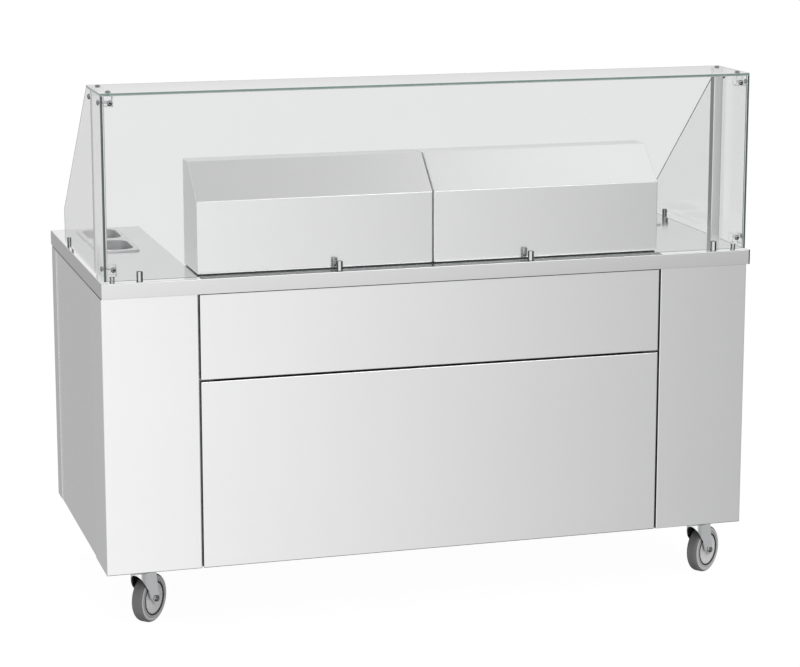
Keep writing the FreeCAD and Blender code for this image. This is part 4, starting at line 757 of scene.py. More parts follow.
class STATION_OT_panels(bpy.types.Operator):
    """Front, side and rear panels of the cabinet, folded from sheet"""

    bl_idname = "station.panels"
    bl_label = "Cabinet panels"

    shade: length("Shade", 0.0035, "Height of the shade on an end wall under the lip")

    def execute(self, context):
        sheet = context.scene.station_sheet
        for word, side in SIDES.items():
            self.corner_panel(sheet, word, side)
            self.rear_panel(sheet, word, side)
        for word in ("lower", "upper"):
            self.centre_panel(sheet, word)
        self.side_panels(sheet)
        return {"FINISHED"}

    def corner_panel(self, sheet, word, side):
        """Front panel of an end, folded round the corner; its inner return is painted dark, as painted shade.
        """
        low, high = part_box(f"{word}_front_panel")
        inner, outer = (high.x, low.x) if side < 0 else (low.x, high.x)
        bm = bmesh.new()
        plan = [(inner, low.y + sheet.panel_return), (inner, low.y), (outer, low.y), (outer, high.y)]
        edges = wire(bm, [(x, y, low.z) for x, y in plan])[1]
        draw_edges(bm, edges, (0, 0, high.z - low.z))
        for foot in draw_edges(bm, edges[1:2], (0, sheet.panel_return, 0)):
            if abs(foot.co.x - outer) < NEAR:
                foot.co.x -= side * 3 * sheet.gauge
        folded(bm, sheet, (0, -1, 0))
        clear = 2 * sheet.bend
        # The returns, all but the end's own fold, are painted dark, as shade in the seams
        mark(bm, lambda normal, middle: abs(middle.x - outer) > clear and abs(normal.y) < LEANING)
        self.panel(sheet, f"{word}_corner_sheet", bm, f"{word}_front_panel")

    def centre_panel(self, sheet, word):
        low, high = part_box(f"{word}_front_panel")
        outline = [(low.x, low.z), (high.x, low.z), (high.x, high.z), (low.x, high.z)]
        bm = flat_sheet([(x, low.y, z) for x, z in outline])
        draw_edges(bm, bm.edges[:], (0, sheet.panel_return, 0))
        folded(bm, sheet, (0, -1, 0))
        # The folded returns are painted dark, as shade in the seams
        mark(bm, lambda normal, middle: abs(normal.y) < LEANING)
        self.panel(sheet, f"{word}_centre_sheet", bm, f"{word}_front_panel")

    def rear_panel(self, sheet, word, side):
        low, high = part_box(f"{word}_rear_panel")
        inner, outer = (high.x, low.x) if side < 0 else (low.x, high.x)
        bm = bmesh.new()
        edges = wire(bm, [(inner, high.y, low.z), (outer, high.y, low.z), (outer, low.y, low.z)])[1]
        draw_edges(bm, edges, (0, 0, high.z - low.z))
        folded(bm, sheet, (0, 1, 0))
        # The rear panels take a darker copy of the satin steel, as painted shade
        self.panel(sheet, f"{word}_rear_sheet", bm, f"{word}_rear_panel", "rear_steel")

    def side_panels(self, sheet):
        """Middle sheet of each end wall, its top edge painted dark as the lip's shadow."""
        low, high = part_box("side_panels")
        bm = bmesh.new()
        for side in SIDES.values():
            outer = high.x if side > 0 else low.x
            x = sorted((outer, outer - side * sheet.gauge))
            add(bm, block((x[0], low.y, low.z), (x[1], high.y, high.z)))
        shade_foot = high.z - self.shade
        slit(bm, Z, shade_foot)
        mark(bm, lambda normal, middle: middle.z > shade_foot)
        self.panel(sheet, "end_wall_sheets", bm, "side_panels", "side_steel mill_steel")

    def panel(self, sheet, name, bm, node, finishes="satin_steel mill_steel"):
        make_piece(name, bm, "station", finishes, node, sheet.burr)


class STATION_OT_bay(bpy.types.Operator):
    """Shelf of the cooker bay with its folded rear edge"""

    bl_idname = "station.bay"
    bl_label = "Cooker bay"

    def execute(self, context):
        sheet = context.scene.station_sheet
        low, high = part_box("bay_shelf")
        bm = bmesh.new()
        edges = wire(bm, [(low.x, low.y, high.z), (low.x, high.y, high.z), (low.x, high.y, low.z)])[1]
        draw_edges(bm, edges, (high.x - low.x, 0, 0))
        folded(bm, sheet, (0, 0, 1))
        make_piece("shelf_sheet", bm, "station", "satin_steel", "bay_shelf", sheet.burr)
        return {"FINISHED"}


class STATION_OT_hoods(bpy.types.Operator):
    """Extraction hoods, folded from sheet and open below and behind, and the seals that they press on"""

    bl_idname = "station.hoods"
    bl_label = "Extraction hoods"

    bend_height: length("Bend", 0.180, "Height of the fold over the foot")
    slope_depth: length("Slope", 0.097, "How far the slope runs back")
    flange: length("Flange", 0.020, "Width of the foot flange")
    sill: length("Sill", 0.016, "Depth of the filter sill")
    pressed: length("Pressed", 0.003, "How far a hood presses its seal down")
    seal: length("Seal", 0.012, "Width of the seal")
    play: length("Play", 0.001, "Gap round a grease filter")

    def execute(self, context):
        self.seals()
        for word in SIDES:
            self.hood(context.scene.station_sheet, word)
        return {"FINISHED"}

    def hood(self, sheet, word):
        low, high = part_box(f"{word}_hood")
        low.z -= self.pressed
        window_low, window_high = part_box(f"{word}_grease_filter")
        window = (window_low - Vector((self.play, 0, 0)), window_high + Vector((self.play, 0, self.play)))
        profile = [(low.y, low.z), (low.y, low.z + self.bend_height), (low.y + self.slope_depth, high.z)]
        profile += [(high.y, high.z), (high.y, low.z)]
        bm = solid([(low.x, y, z) for y, z in profile], (high.x - low.x, 0, 0))
        self.open_face(bm, Vector((0, 1, 0)), window, (X, Z))
        inset = Vector((self.flange, self.flange, 0))
        self.open_face(bm, Vector((0, 0, -1)), (low + inset, high - inset), (X, Y))
        sills = []
        for edge in bm.edges:
            at_window_foot = abs(centre(edge).z - window[0].z) < CLOSE
            if edge.is_boundary and rise(edge) < NEAR and at_window_foot:
                sills.append(edge)
        draw_edges(bm, sills, (0, -self.sill, 0))
        folded(bm, sheet, (0, -1, 0))

        # The fold between a hood's front and its slope is painted darker, as painted shade over its highlight
        main, end, bend = range(3)
        bend_start = 0.08

        def choose(normal, middle):
            if normal.y < -HALF_WAY and bend_start < normal.z < HALF_WAY:
                return bend
            return end if abs(normal.x) > SQUARE_ON else main

        mark(bm, choose)
        # Each hood takes its own colour of one steel: the left one is painted darker, as painted shade
        finishes = f"{word}_hood_steel hood_end_steel fold_steel"
        make_piece(f"{word}_hood_sheet", bm, "station", finishes, f"{word}_hood", sheet.burr)

    def seals(self):
        """Flat rubber frame under each hood."""
        low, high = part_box("hood_gaskets")
        hood_low, hood_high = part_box("left_hood")
        inner = low.x - hood_low.x - hood_high.x
        bm = bmesh.new()
        for side in SIDES.values():
            x = sorted((side * high.x, side * inner))
            near, far = Vector((x[0], low.y, low.z)), Vector((x[1], high.y, high.z - self.pressed))
            add(bm, surround(near, far, self.seal, 1))
        make_piece("hood_seals", bm, "station", "seal_rubber", "hood_gaskets")

    def open_face(self, bm, normal, opening, axes):
        """Cut an opening in the one face that looks a given way."""

        def facing():
            bm.normal_update()
            return [face for face in bm.faces if face.normal.dot(normal) > LEVEL]

        for axis in axes:
            for corner in opening:
                slit(bm, axis, corner[axis], facing())
        delete_within(bm, facing(), *opening, axes)


class STATION_OT_filters(bpy.types.Operator):
    """Grease filters: a frame round two staggered rows of baffles"""

    bl_idname = "station.filters"
    bl_label = "Grease filters"

    rim: length("Frame", 0.015, "Width of the frame")
    near_row: length("Near row", 0.002, "First row of baffles behind the frame's face")
    far_row: length("Far row", 0.009, "Second row behind the frame's face")
    depth: length("Depth", 0.006, "Depth of a baffle")
    floor: length("Floor", 0.004, "Half width of a baffle's floor")
    mouth: length("Mouth", 0.0075, "Half width of its mouth")

    def execute(self, context):
        pitch = context.scene.station_cook.baffle_pitch
        for word in SIDES:
            low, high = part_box(f"{word}_grease_filter")
            bm = surround(low, high, self.rim, Z)
            count = int((high.x - low.x - 2 * self.rim) / pitch)
            first = (low.x + high.x) / 2 - pitch * (count - 1) / 2
            for row, (shift, behind) in enumerate(((0, self.far_row), (pitch / 2, self.near_row))):
                for place in range(count - row):
                    x = first + shift + place * pitch
                    add(bm, self.baffle(x, low.y + behind, low.z + self.rim, high.z - self.rim))
            body, node = f"{word}_filter", f"{word}_grease_filter"
            make_piece(f"{word}_baffle_filter", bm, body, "filter_steel", node, edge=0.0012)
        return {"FINISHED"}

    def baffle(self, x, near, low, high):
        """Trough that catches grease, wider on the side of the cookers."""
        floor, mouth, far = self.floor, self.mouth, near + self.depth
        plan = [(x - floor, near), (x + floor, near), (x + mouth, far), (x - mouth, far)]
        return solid([(u, v, low) for u, v in plan], (0, 0, high - low))


class STATION_OT_panes(bpy.types.Operator):
    """Glass panes with arrised edges"""

    bl_idname = "station.panes"
    bl_label = "Glass panes"

    rear_height: length("Rear height", 0.088, "Height of an end pane's rear edge")
    # Edges taller than this take the painted shade of an upright edge
    upright: length("Upright", 0.050, "Height from which an edge has the deeper colour")

    def execute(self, context):
        arris = context.scene.station_glass.arris
        top_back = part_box("top_glass")[1].y
        for word in ("front", "top", "left", "right"):
            node = f"{word}_glass"
            low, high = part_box(node)
            if word in SIDES:
                clear = "end_pane_glass"
                profile = [(low.y, low.z), (high.y, low.z), (high.y, low.z + self.rear_height)]
                profile += [(top_back, high.z), (low.y, high.z)]
                bm = solid([(low.x, y, z) for y, z in profile], (high.x - low.x, 0, 0))
            else:
                clear = "pane_glass"
                bm = block(low, high)
            self.mark_edges(bm)
            finishes = f"{clear} glass_edge deep_glass_edge"
            pane = make_piece(f"{word}_pane", bm, "station", finishes, node, arris, segments=1)
            pane.visible_shadow = False
            pane.visible_glossy = False
        return {"FINISHED"}

    def mark_edges(self, bm):
        """Give all but the two wide faces the finish of a cut edge, painted darker on an upright one as
        painted shade.
        """
        for face in sorted(bm.faces, key=lambda face: face.calc_area())[:-2]:
            heights = [vert.co.z for vert in face.verts]
            face.material_index = 2 if max(heights) - min(heights) > self.upright else 1


class STATION_OT_glass_fittings(bpy.types.Operator):
    """Posts, clear corner blocks, screws and clips of the guard"""

    bl_idname = "station.glass_fittings"
    bl_label = "Glass fittings"

    high_screw: length("High screws", 1.335, "Height of the high screws")
    low_screw: length("Low screws", 0.931, "Height of the low screws")
    clip_near: length("Near clips", 0.251, "Inner front clips from the middle")
    clip_far: length("Far clips", 0.753, "Outer front clips from the middle")
    side_clip: length("Side clips", 0.138, "Place of a side clip across the counter")
    clip_slot: length("Clip slot", 0.0032, "Half of the slot in a clip")
    clip_foot: length("Clip foot", 0.002, "Height of a clip's foot")
    clip_screw: length("Clip screw", 0.018, "Height of a clip's screw")
    post_corner: length("Post corner", 0.0025, "Radius of a post's corners")
    chamfer: length("Chamfer", 0.0011, "Chamfer of a corner block")
    sleeve: length("Sleeve", 0.0036, "Radius of a sleeve in a corner block")
    sleeve_start: length("Sleeve start", 0.003, "Inner end of a sleeve from the block's screw lines")
    sleeve_end: length("Sleeve end", 0.0175, "Outer end of a sleeve")
    key_depth: length("Key socket", 0.002, "Depth of the key socket in a screw")
    shank: length("Shank", 0.003, "Radius of a screw's shank")

    def execute(self, context):
        glass = context.scene.station_glass
        self.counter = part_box("worktop")[1].z
        self.front_low, self.front_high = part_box("front_glass")
        self.side_low, self.side_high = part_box("right_glass")
        self.posts(glass)
        self.clamps(glass)
        self.screws(glass)
        self.clips(glass)
        return {"FINISHED"}

    def posts(self, glass):
        bm = bmesh.new()
        half, y = glass.post_size / 2, glass.post_y
        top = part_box("top_glass")[0].z
        for side in SIDES.values():
            x = side * glass.post_x
            tube = block((x - half, y - half, self.counter), (x + half, y + half, top))
            rounded(tube, [edge for edge in tube.edges if rise(edge) > NEAR], self.post_corner, 3)
            add(bm, tube)
            boss = rod(0, self.side_low.x - glass.post_x - half, glass.screw_radius)
            add(bm, boss, aimed((x + side * half, y, self.high_screw), (side, 0, 0)))
        # Faces turned to the ends are painted darker than the rest, as painted shade
        mark(bm, lambda normal, middle: abs(normal.x) > SQUARE_ON)
        finishes = "post_steel post_side_steel"
        make_piece("glass_uprights", bm, "station", finishes, "glass_posts", edge=0.0006)

    def clamps(self, glass):
        """Clear block in each corner of the guard, with chamfered edges painted pale as highlights, and two
        plated sleeves through it.
        """
        bm = bmesh.new()
        size, screw, seam = glass.clamp_size, glass.clamp_screw, glass.seam
        front_face, side_face = self.front_high.y, self.side_low.x
        low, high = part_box("corner_clamps")
        for side in SIDES.values():
            x = sorted((side * (side_face - size), side * side_face))
            for foot, screw_z in ((high.z - size, self.high_screw), (low.z, self.low_screw)):
                near = (x[0] + seam, front_face + seam, foot + seam)
                clear = block(near, (x[1] - seam, front_face + size, foot + size - seam))
                rounded(clear, clear.edges[:], self.chamfer, 1, finish=2)
                add(bm, clear)
                for direction in ((0, -1, 0), (side, 0, 0)):
                    crossing = (side * (side_face - screw), front_face + screw, screw_z)
                    sleeve = rod(self.sleeve_start, self.sleeve_end, self.sleeve, 1, 20)
                    add(bm, sleeve, aimed(crossing, direction))
        finishes = "clear_block chrome_plate block_edge"
        clamps = make_piece("clear_corner_blocks", bm, "station", finishes, "corner_clamps")
        clamps.visible_shadow = False

    def screws(self, glass):
        bm = bmesh.new()
        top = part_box("top_glass")[1].z
        clamp_y, post_y = self.front_high.y + glass.clamp_screw, glass.post_y
        for side in SIDES.values():
            clamp_x = side * (self.side_low.x - glass.clamp_screw)
            outer = side * self.side_high.x
            heights = (self.high_screw, self.low_screw)
            places = [((clamp_x, self.front_low.y, z), (0, -1, 0)) for z in heights]
            places += [((outer, clamp_y, z), (side, 0, 0)) for z in heights]
            places += [((outer, post_y, self.high_screw), (side, 0, 0))]
            places += [((clamp_x, clamp_y, top), (0, 0, 1)), ((side * glass.post_x, post_y, top), (0, 0, 1))]
            for origin, direction in places:
                add(bm, self.screw(glass), aimed(origin, direction))
        # The screw heads' chrome is painted dark, as painted reflection
        make_piece("glass_screw_set", bm, "station", "screw_chrome guard_plastic", "glass_screws")

    def screw(self, glass):
        """Domed head with a round key socket, and a shank as long as the glass is thick."""
        wide, tall = glass.screw_radius, glass.screw_height
        tip = self.front_low.y - self.front_high.y
        key, floor = wide * 0.34, tall - self.key_depth
        dome = [(tip, 0), (tip, self.shank), (0, self.shank), (0, wide - 0.0004), (0.0006, wide)]
        dome += [(0.0012, wide), (tall * 0.62, wide * 0.86), (tall * 0.88, wide * 0.62), (tall, wide * 0.40)]
        bm = lathe(dome + [(tall - 0.0003, key), (floor, key)], steps=28)
        add(bm, lathe([(floor, key), (floor, 0)], 1, 28))
        return bm

    def clips(self, glass):
        bm = bmesh.new()
        front = (self.front_low.y + self.front_high.y) / 2
        end = (self.side_low.x + self.side_high.x) / 2
        stud_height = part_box("corner_clamps")[0].z - self.counter
        for side in SIDES.values():
            for place in (self.clip_near, self.clip_far):
                add(bm, self.clip(glass), Matrix.Translation((side * place, front, self.counter)))
            turn = Matrix.Rotation(-side * QUARTER, 4, "Z")
            add(bm, self.clip(glass), Matrix.Translation((side * end, self.side_clip, self.counter)) @ turn)
            x, y = side * (self.side_low.x - glass.clamp_screw), self.front_high.y + glass.clamp_screw
            add(bm, self.disc(glass.stud_radius, stud_height), Matrix.Translation((x, y, self.counter)))
        # The clips' chrome is painted dark at the sides, leaving a painted highlight down the middle
        make_piece("glass_clip_set", bm, "station", "side_shaded_chrome", "glass_clips", edge=0.0007)

    def clip(self, glass):
        """Round clip with a slot for the pane, and its clamping screw."""
        slot, foot, tall = self.clip_slot, self.clip_foot, glass.clip_height
        bm = self.disc(glass.clip_radius, tall)
        for axis, place in ((Y, -slot), (Y, slot), (Z, foot)):
            slit(bm, axis, place)
        delete_within(bm, bm.faces, (0, -slot, foot), (0, slot, tall), (Y, Z))
        floor = [vert for vert in bm.verts if within(vert.co, (0, -slot, foot), (0, slot, foot), (Y, Z))]
        bm.faces.new(sorted(floor, key=lambda vert: math.atan2(vert.co.y, vert.co.x)))
        middle = (foot + tall) / 2
        for y in (-slot, slot):
            jaw = [vert for vert in bm.verts if within(vert.co, (0, y, foot), (0, y, tall), (Y, Z))]
            bm.faces.new(sorted(jaw, key=lambda vert: math.atan2(vert.co.z - middle, vert.co.x)))
        bmesh.ops.recalc_face_normals(bm, faces=bm.faces)
        screw = [(0, 0), (0, 0.0027), (0.0012, 0.0027), (0.0012, 0.0014), (0.0004, 0.0014), (0.0004, 0)]
        add(bm, lathe(screw, 0, 16), aimed((0, glass.clip_radius - 0.0006, self.clip_screw), (0, 1, 0)))
        return bm

    def disc(self, radius, height):
        """Upright cylinder on its foot."""
        return moved(prism(32, radius, radius, height), Matrix.Translation((0, 0, height / 2)))


class STATION_OT_pans(bpy.types.Operator):
    """Lift-out food containers with a turned-down rim"""

    bl_idname = "station.pans"
    bl_label = "Food containers"

    rim: length("Rim", 0.011, "Width of the rim")
    taper: length("Taper", 0.008, "How far the walls lean in")
    corner: length("Corner", 0.014, "Radius of the rim's corners")
    mouth: length("Mouth", 0.034, "Radius of the mouth's corners")
    wall: length("Wall", 0.001, "Thickness of the steel")
    floor_bend: length("Floor bend", 0.010, "Radius between the walls and the floor")
    rim_bend: length("Rim bend", 0.0018, "Radius along the rim")
    rim_depth: length("Rim depth", 0.0025, "How far below the top all is rim")

    def execute(self, context):
        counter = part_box("worktop")[1].z
        for word in SIDES:
            for row in ("front", "rear"):
                self.pan(f"{word}_{row}", counter)
        return {"FINISHED"}

    def pan(self, place, counter):
        low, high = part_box(f"{place}_pan")
        inset = Vector((self.rim, self.rim, 0))
        bm = bmesh.new()
        edge = self.loop(bm, low, high, self.corner)
        mouth = self.loop(bm, low + inset, high - inset, self.mouth)
        bmesh.ops.bridge_loops(bm, edges=edge + mouth)
        draw_edges(bm, edge, (0, 0, counter - high.z))
        floor = draw_edges(bm, mouth, (0, 0, low.z + self.wall - high.z))
        deep = between(bm, floor)
        bmesh.ops.edgeloop_fill(bm, edges=deep)
        middle = (low + high) / 2
        width, depth = (high - low - 2 * inset).xy
        shrink = (1 - 2 * self.taper / width, 1 - 2 * self.taper / depth, 1)
        bmesh.ops.scale(bm, vec=shrink, space=Matrix.Translation((-middle.x, -middle.y, 0)), verts=floor)
        rounded(bm, deep, self.floor_bend, 5)
        rounded(bm, [item for item in edge + mouth if item.is_valid], self.rim_bend, 4)
        bmesh.ops.recalc_face_normals(bm, faces=bm.faces)
        if max(bm.faces, key=lambda face: face.calc_center_median().z).normal.z < 0:
            bmesh.ops.reverse_faces(bm, faces=bm.faces)
        bmesh.ops.solidify(bm, geom=bm.faces[:], thickness=self.wall)
        rim_foot = high.z - self.rim_depth
        # The rim is painted white as a painted highlight; the rest is painted darker, as shade inside the pan
        mark(bm, lambda normal, middle: middle.z > rim_foot)
        body, node = f"{place}_container", f"{place}_pan"
        make_piece(f"{place}_food_pan", bm, body, "pan_steel rim_steel", node)

    def loop(self, bm, low, high, radius):
        """Closed line round a rectangle with rounded corners."""
        outline = [(low.x, low.y), (high.x, low.y), (high.x, high.y), (low.x, high.y)]
        face = flat(bm, [(x, y, high.z) for x, y in outline])
        before = set(bm.edges) - set(face.edges)
        rounded(bm, face.verts[:], radius, 6, "VERTICES")
        edges = [item for item in bm.edges if item not in before]
        filled = [item for item in bm.faces if edges[0] in item.edges[:]]
        bmesh.ops.delete(bm, geom=filled, context="FACES_ONLY")
        return edges


class STATION_OT_doors(bpy.types.Operator):
    """Louvred doors with their handles"""

    bl_idname = "station.doors"
    bl_label = "Doors"

    gauge: length("Gauge", 0.0015, "Thickness of a door's sheet")
    bend: length("Bend", 0.00192, "Outer radius of its folds")
    fin_depth: length("Fin depth", 0.010, "How far a louvre's fin reaches in")
    fin_drop: length("Fin drop", 0.008, "How far it hangs down")
    pin_inside: length("Pin block inside", 0.011, "Pin block from the hinge, to the middle of the station")
    pin_outside: length("Pin block outside", 0.012, "Pin block from the hinge, to its end")
    pin_height: length("Pin block height", 0.022, "Top of a pin block from the door's edge")
    pin_gap: length("Pin block gap", 0.0016, "Pin block from the sheet's outside")
    pin_back: length("Pin block back", 0.001, "Pin block from the door's inner face")

    def execute(self, context):
        for word, side in SIDES.items():
            self.leaf(context.scene.station_sheet, context.scene.station_cook, word, side)
            self.handle(word)
        return {"FINISHED"}

    def leaf(self, sheet, cook, word, side):
        low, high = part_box(f"{word}_door")
        outline = [(low.x, low.z), (low.x, high.z), (high.x, high.z), (high.x, low.z)]
        bm = flat_sheet([(x, high.y, z) for x, z in outline])
        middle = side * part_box("bay_shelf")[1].x / 2
        half = Vector((cook.louvre_width / 2, 0, 0))
        slots = []
        for row in range(cook.louvres):
            foot = Vector((middle, 0, low.z + cook.louvre_low + row * cook.louvre_pitch))
            slots.append((foot - half, foot + half + Vector((0, 0, cook.louvre_height))))
            cut_opening(bm, *slots[-1], (X, Z))
        border, fins = [], []
        for edge in bm.edges:
            point = centre(edge)
            slot = next((corners for corners in slots if within(point, *corners, (X, Z))), None)
            if edge.is_boundary and slot is None:
                border.append(edge)
            elif edge.is_boundary and abs(point.z - slot[1].z) < CLOSE:
                fins.append(edge)
        draw_edges(bm, border, (0, low.y - high.y, 0))
        draw_edges(bm, fins, (0, -self.fin_depth, -self.fin_drop))
        folded(bm, self, (0, 1, 0))
        hinge = JOINTS[f"{word}_door_hinge"]["pos_m"][0]
        reach = sorted((hinge - side * self.pin_inside, hinge + side * self.pin_outside))
        near, far = low.y + self.pin_back, high.y - self.pin_gap
        rows = [(low.z + self.pin_gap, low.z + self.pin_height)]
        rows += [(high.z - self.pin_height, high.z - self.pin_gap)]
        for foot, top in rows:
            add(bm, block((reach[0], near, foot), (reach[1], far, top)))
        body, node = f"{word}_door_leaf", f"{word}_door"
        make_piece(f"{word}_door_sheet", bm, body, "satin_steel", node, sheet.burr)

    def handle(self, word):
        low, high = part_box(f"{word}_door_handle")
        x, radius = (low.x + high.x) / 2, (high.x - low.x) / 2
        bar_y = high.y - radius
        tip = [(0, 0), (0, 0.7), (0.12, 0.9), (0.3, 1)]
        bar = [(along * radius, share * radius) for along, share in tip]
        bar += [(high.z - low.z - along, wide) for along, wide in reversed(bar)]
        bm = moved(lathe(bar, steps=32), aimed((x, bar_y, low.z), (0, 0, 1)))
        reach = bar_y - low.y
        post = [(0, 0), (0, 0.008), (0.0015, 0.008), (0.0025, 0.0055), (0.005, 0.005)]
        post += [(reach, 0.005), (reach, 0)]
        for z in (low.z + 2 * radius, high.z - 2 * radius):
            add(bm, lathe(post, steps=24), aimed((x, low.y, z), (0, 1, 0)))
        body, node = f"{word}_door_leaf", f"{word}_door_handle"
        make_piece(f"{word}_bow_handle", bm, body, "chrome_plate", node, edge=0.0003)


class STATION_OT_controls(bpy.types.Operator):
    """Mains sockets, fan knob, main switch and cable gland"""

    bl_idname = "station.controls"
    bl_label = "Controls"

    play: length("Play", 0.0005, "Gap between a knob's skirt and the panel")
    skirt: length("Skirt", 0.003, "Height of a knob's skirt")
    flange: length("Flange", 0.030, "Half width of a socket's flange")
    recess: length("Recess", 0.0195, "Radius of a socket's recess")
    barrel: length("Barrel", 0.022, "Radius of a socket behind the panel")
    corner: length("Corner", 0.007, "Radius of the flange's corners")
    recess_depth: length("Recess depth", 0.015, "Depth of the recess")
    hole: length("Hole", 0.0025, "Radius of a contact hole")
    hole_place: length("Hole place", 0.0095, "Contact hole from the middle")
    earth_place: length("Earth place", 0.0178, "Earth clip from the middle")
    earth_half: length("Earth clip", 0.003, "Half width of an earth clip, and its top below the flange")
    earth_gauge: length("Earth gauge", 0.001, "Half thickness of an earth clip")

    def execute(self, context):
        self.panel_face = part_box("control_panel")[1].y
        self.sockets(context.scene.station_cook.socket_pitch)
        self.fan_knob()
        self.main_switch()
        self.gland()
        return {"FINISHED"}

    def sockets(self, pitch):
        low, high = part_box("sockets")
        bm = bmesh.new()
        for place in (-1, 0, 1):
            middle = Matrix.Translation((place * pitch, 0, (low.z + high.z) / 2))
            add(bm, self.socket(low.y, high.y), middle)
        finishes = "socket_plastic guard_plastic contact_brass"
        make_piece("mains_sockets", bm, "station", finishes, "sockets", edge=0.0007)

    def socket(self, back, front):
        """Square flange with rounded corners round a deep circular recess, and the barrel behind it."""
        half, bed, floor = self.flange, self.panel_face, front - self.recess_depth
        outline = [(-half, -half), (-half, half), (half, half), (half, -half)]
        bm = flat_sheet([(x, front, z) for x, z in outline])
        rounded(bm, bm.verts[:], self.corner, 7, "VERTICES")
        square = bm.verts[:]
        bmesh.ops.delete(bm, geom=bm.faces[:], context="FACES_ONLY")
        flange = draw_edges(bm, bm.edges[:], (0, bed - front, 0))
        bands = [(square, self.recess, front, floor), (flange, self.barrel, bed, back)]
        for rim, radius, start, end in bands:
            place = Matrix.Translation((0, start, 0)) @ Matrix.Rotation(QUARTER, 4, "X")
            place = place @ Matrix.Rotation(math.pi / len(rim), 4, "Z")
            circle = bmesh.ops.create_circle(bm, segments=len(rim), radius=radius, matrix=place)["verts"]
            outer, inner = (
                sorted(loop, key=lambda vert: math.atan2(vert.co.z, vert.co.x)) for loop in (rim, circle)
            )
            for step in range(len(rim)):
                bm.faces.new((outer[step], outer[step - 1], inner[step - 1], inner[step]))
            ends = draw_edges(bm, between(bm, inner), (0, end - start, 0))
            bmesh.ops.edgeloop_fill(bm, edges=between(bm, ends))
        bmesh.ops.recalc_face_normals(bm, faces=bm.faces)
        if max(bm.faces, key=lambda item: item.calc_center_median().y).normal.y < 0:
            bmesh.ops.reverse_faces(bm, faces=bm.faces)
        for side in SIDES.values():
            add(bm, rod(0, 0.0003, self.hole, 1, 20), aimed((side * self.hole_place, floor, 0), (0, 1, 0)))
            z, wide, thin = side * self.earth_place, self.earth_half, self.earth_gauge
            add(bm, block((-wide, floor, z - thin), (wide, front - wide, z + thin), 2))
        return bm

    def turned_foot(self, node, shoulder, number):
        """Stem and skirt of a knob along X, with its height over the seat and the matrix to its place."""
        joint = JOINTS[f"{node}_turn"]["pos_m"]
        low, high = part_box(node)
        seat = self.panel_face + self.play
        bm = rod(low.y - seat, 0.001, 0.004, number, 20)
        add(bm, lathe([(0, 0), (0, 0.0195), (0.0006, 0.020), *shoulder, (self.skirt, 0)], number))
        place = Matrix.Translation((joint[0], seat, joint[2])) @ Matrix.Rotation(QUARTER, 4, "Z")
        return bm, high.y - seat, place

    def fan_knob(self):
        bm, height, place = self.turned_foot("fan_knob", [(0.0016, 0.020), (self.skirt, 0.0165)], 0)
        tall = height - 0.001
        grip = laid(prism(24, 0.015, 0.0138, tall - self.skirt), (tall + self.skirt) / 2)
        grip.normal_update()
        ribs = [face for face in grip.faces if abs(face.normal.x) < 0.5]
        bmesh.ops.inset_individual(grip, faces=ribs, thickness=0.0006, depth=-0.0007)
        add(bm, grip)
        add(bm, block((tall - 0.0002, -0.0012, 0.002), (tall + 0.0008, 0.0012, 0.012), 1))
        finishes = "black_plastic mark_white"
        moved(bm, place)
        make_piece("fluted_fan_knob", bm, "fan_knob_dial", finishes, "fan_knob", edge=0.0004)

    def main_switch(self):
        bm, tall, place = self.turned_foot("main_switch", [(0.0022, 0.020), (self.skirt, 0.019)], 1)
        outline = [(-0.005, -0.017), (0.005, -0.017), (0.005, 0.0125), (0, 0.017), (-0.005, 0.0125)]
        add(bm, solid([(self.skirt, v, w) for v, w in outline], (tall - self.skirt, 0, 0)))
        add(bm, block((tall - 0.0003, -0.0009, 0.004), (tall + 0.0002, 0.0009, 0.0125), 2))
        finishes = "switch_plastic black_plastic mark_white"
        moved(bm, place)
        body, node = "main_switch_dial", "main_switch"
        make_piece("main_switch_grip", bm, body, finishes, node, edge=0.0009)

    def gland(self):
        low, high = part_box("cable_gland")
        middle = (low + high) / 2
        bm = hexagon(0.0138, 0.0, 0.008)
        dome = [(0.008, 0.006), (0.008, 0.0118), (0.010, 0.0118), (0.016, 0.0108), (0.0205, 0.0088)]
        add(bm, ring(dome + [(0.022, 0.0066), (0.022, 0.006), (0.012, 0.006)], steps=36))
        add(bm, rod(0.0105, 0.0125, 0.0062, 1))
        moved(bm, aimed((middle.x, middle.y, high.z), (0, 0, -1)))
        finishes = "black_plastic guard_plastic"
        make_piece("supply_gland", bm, "station", finishes, "cable_gland", edge=0.0006)


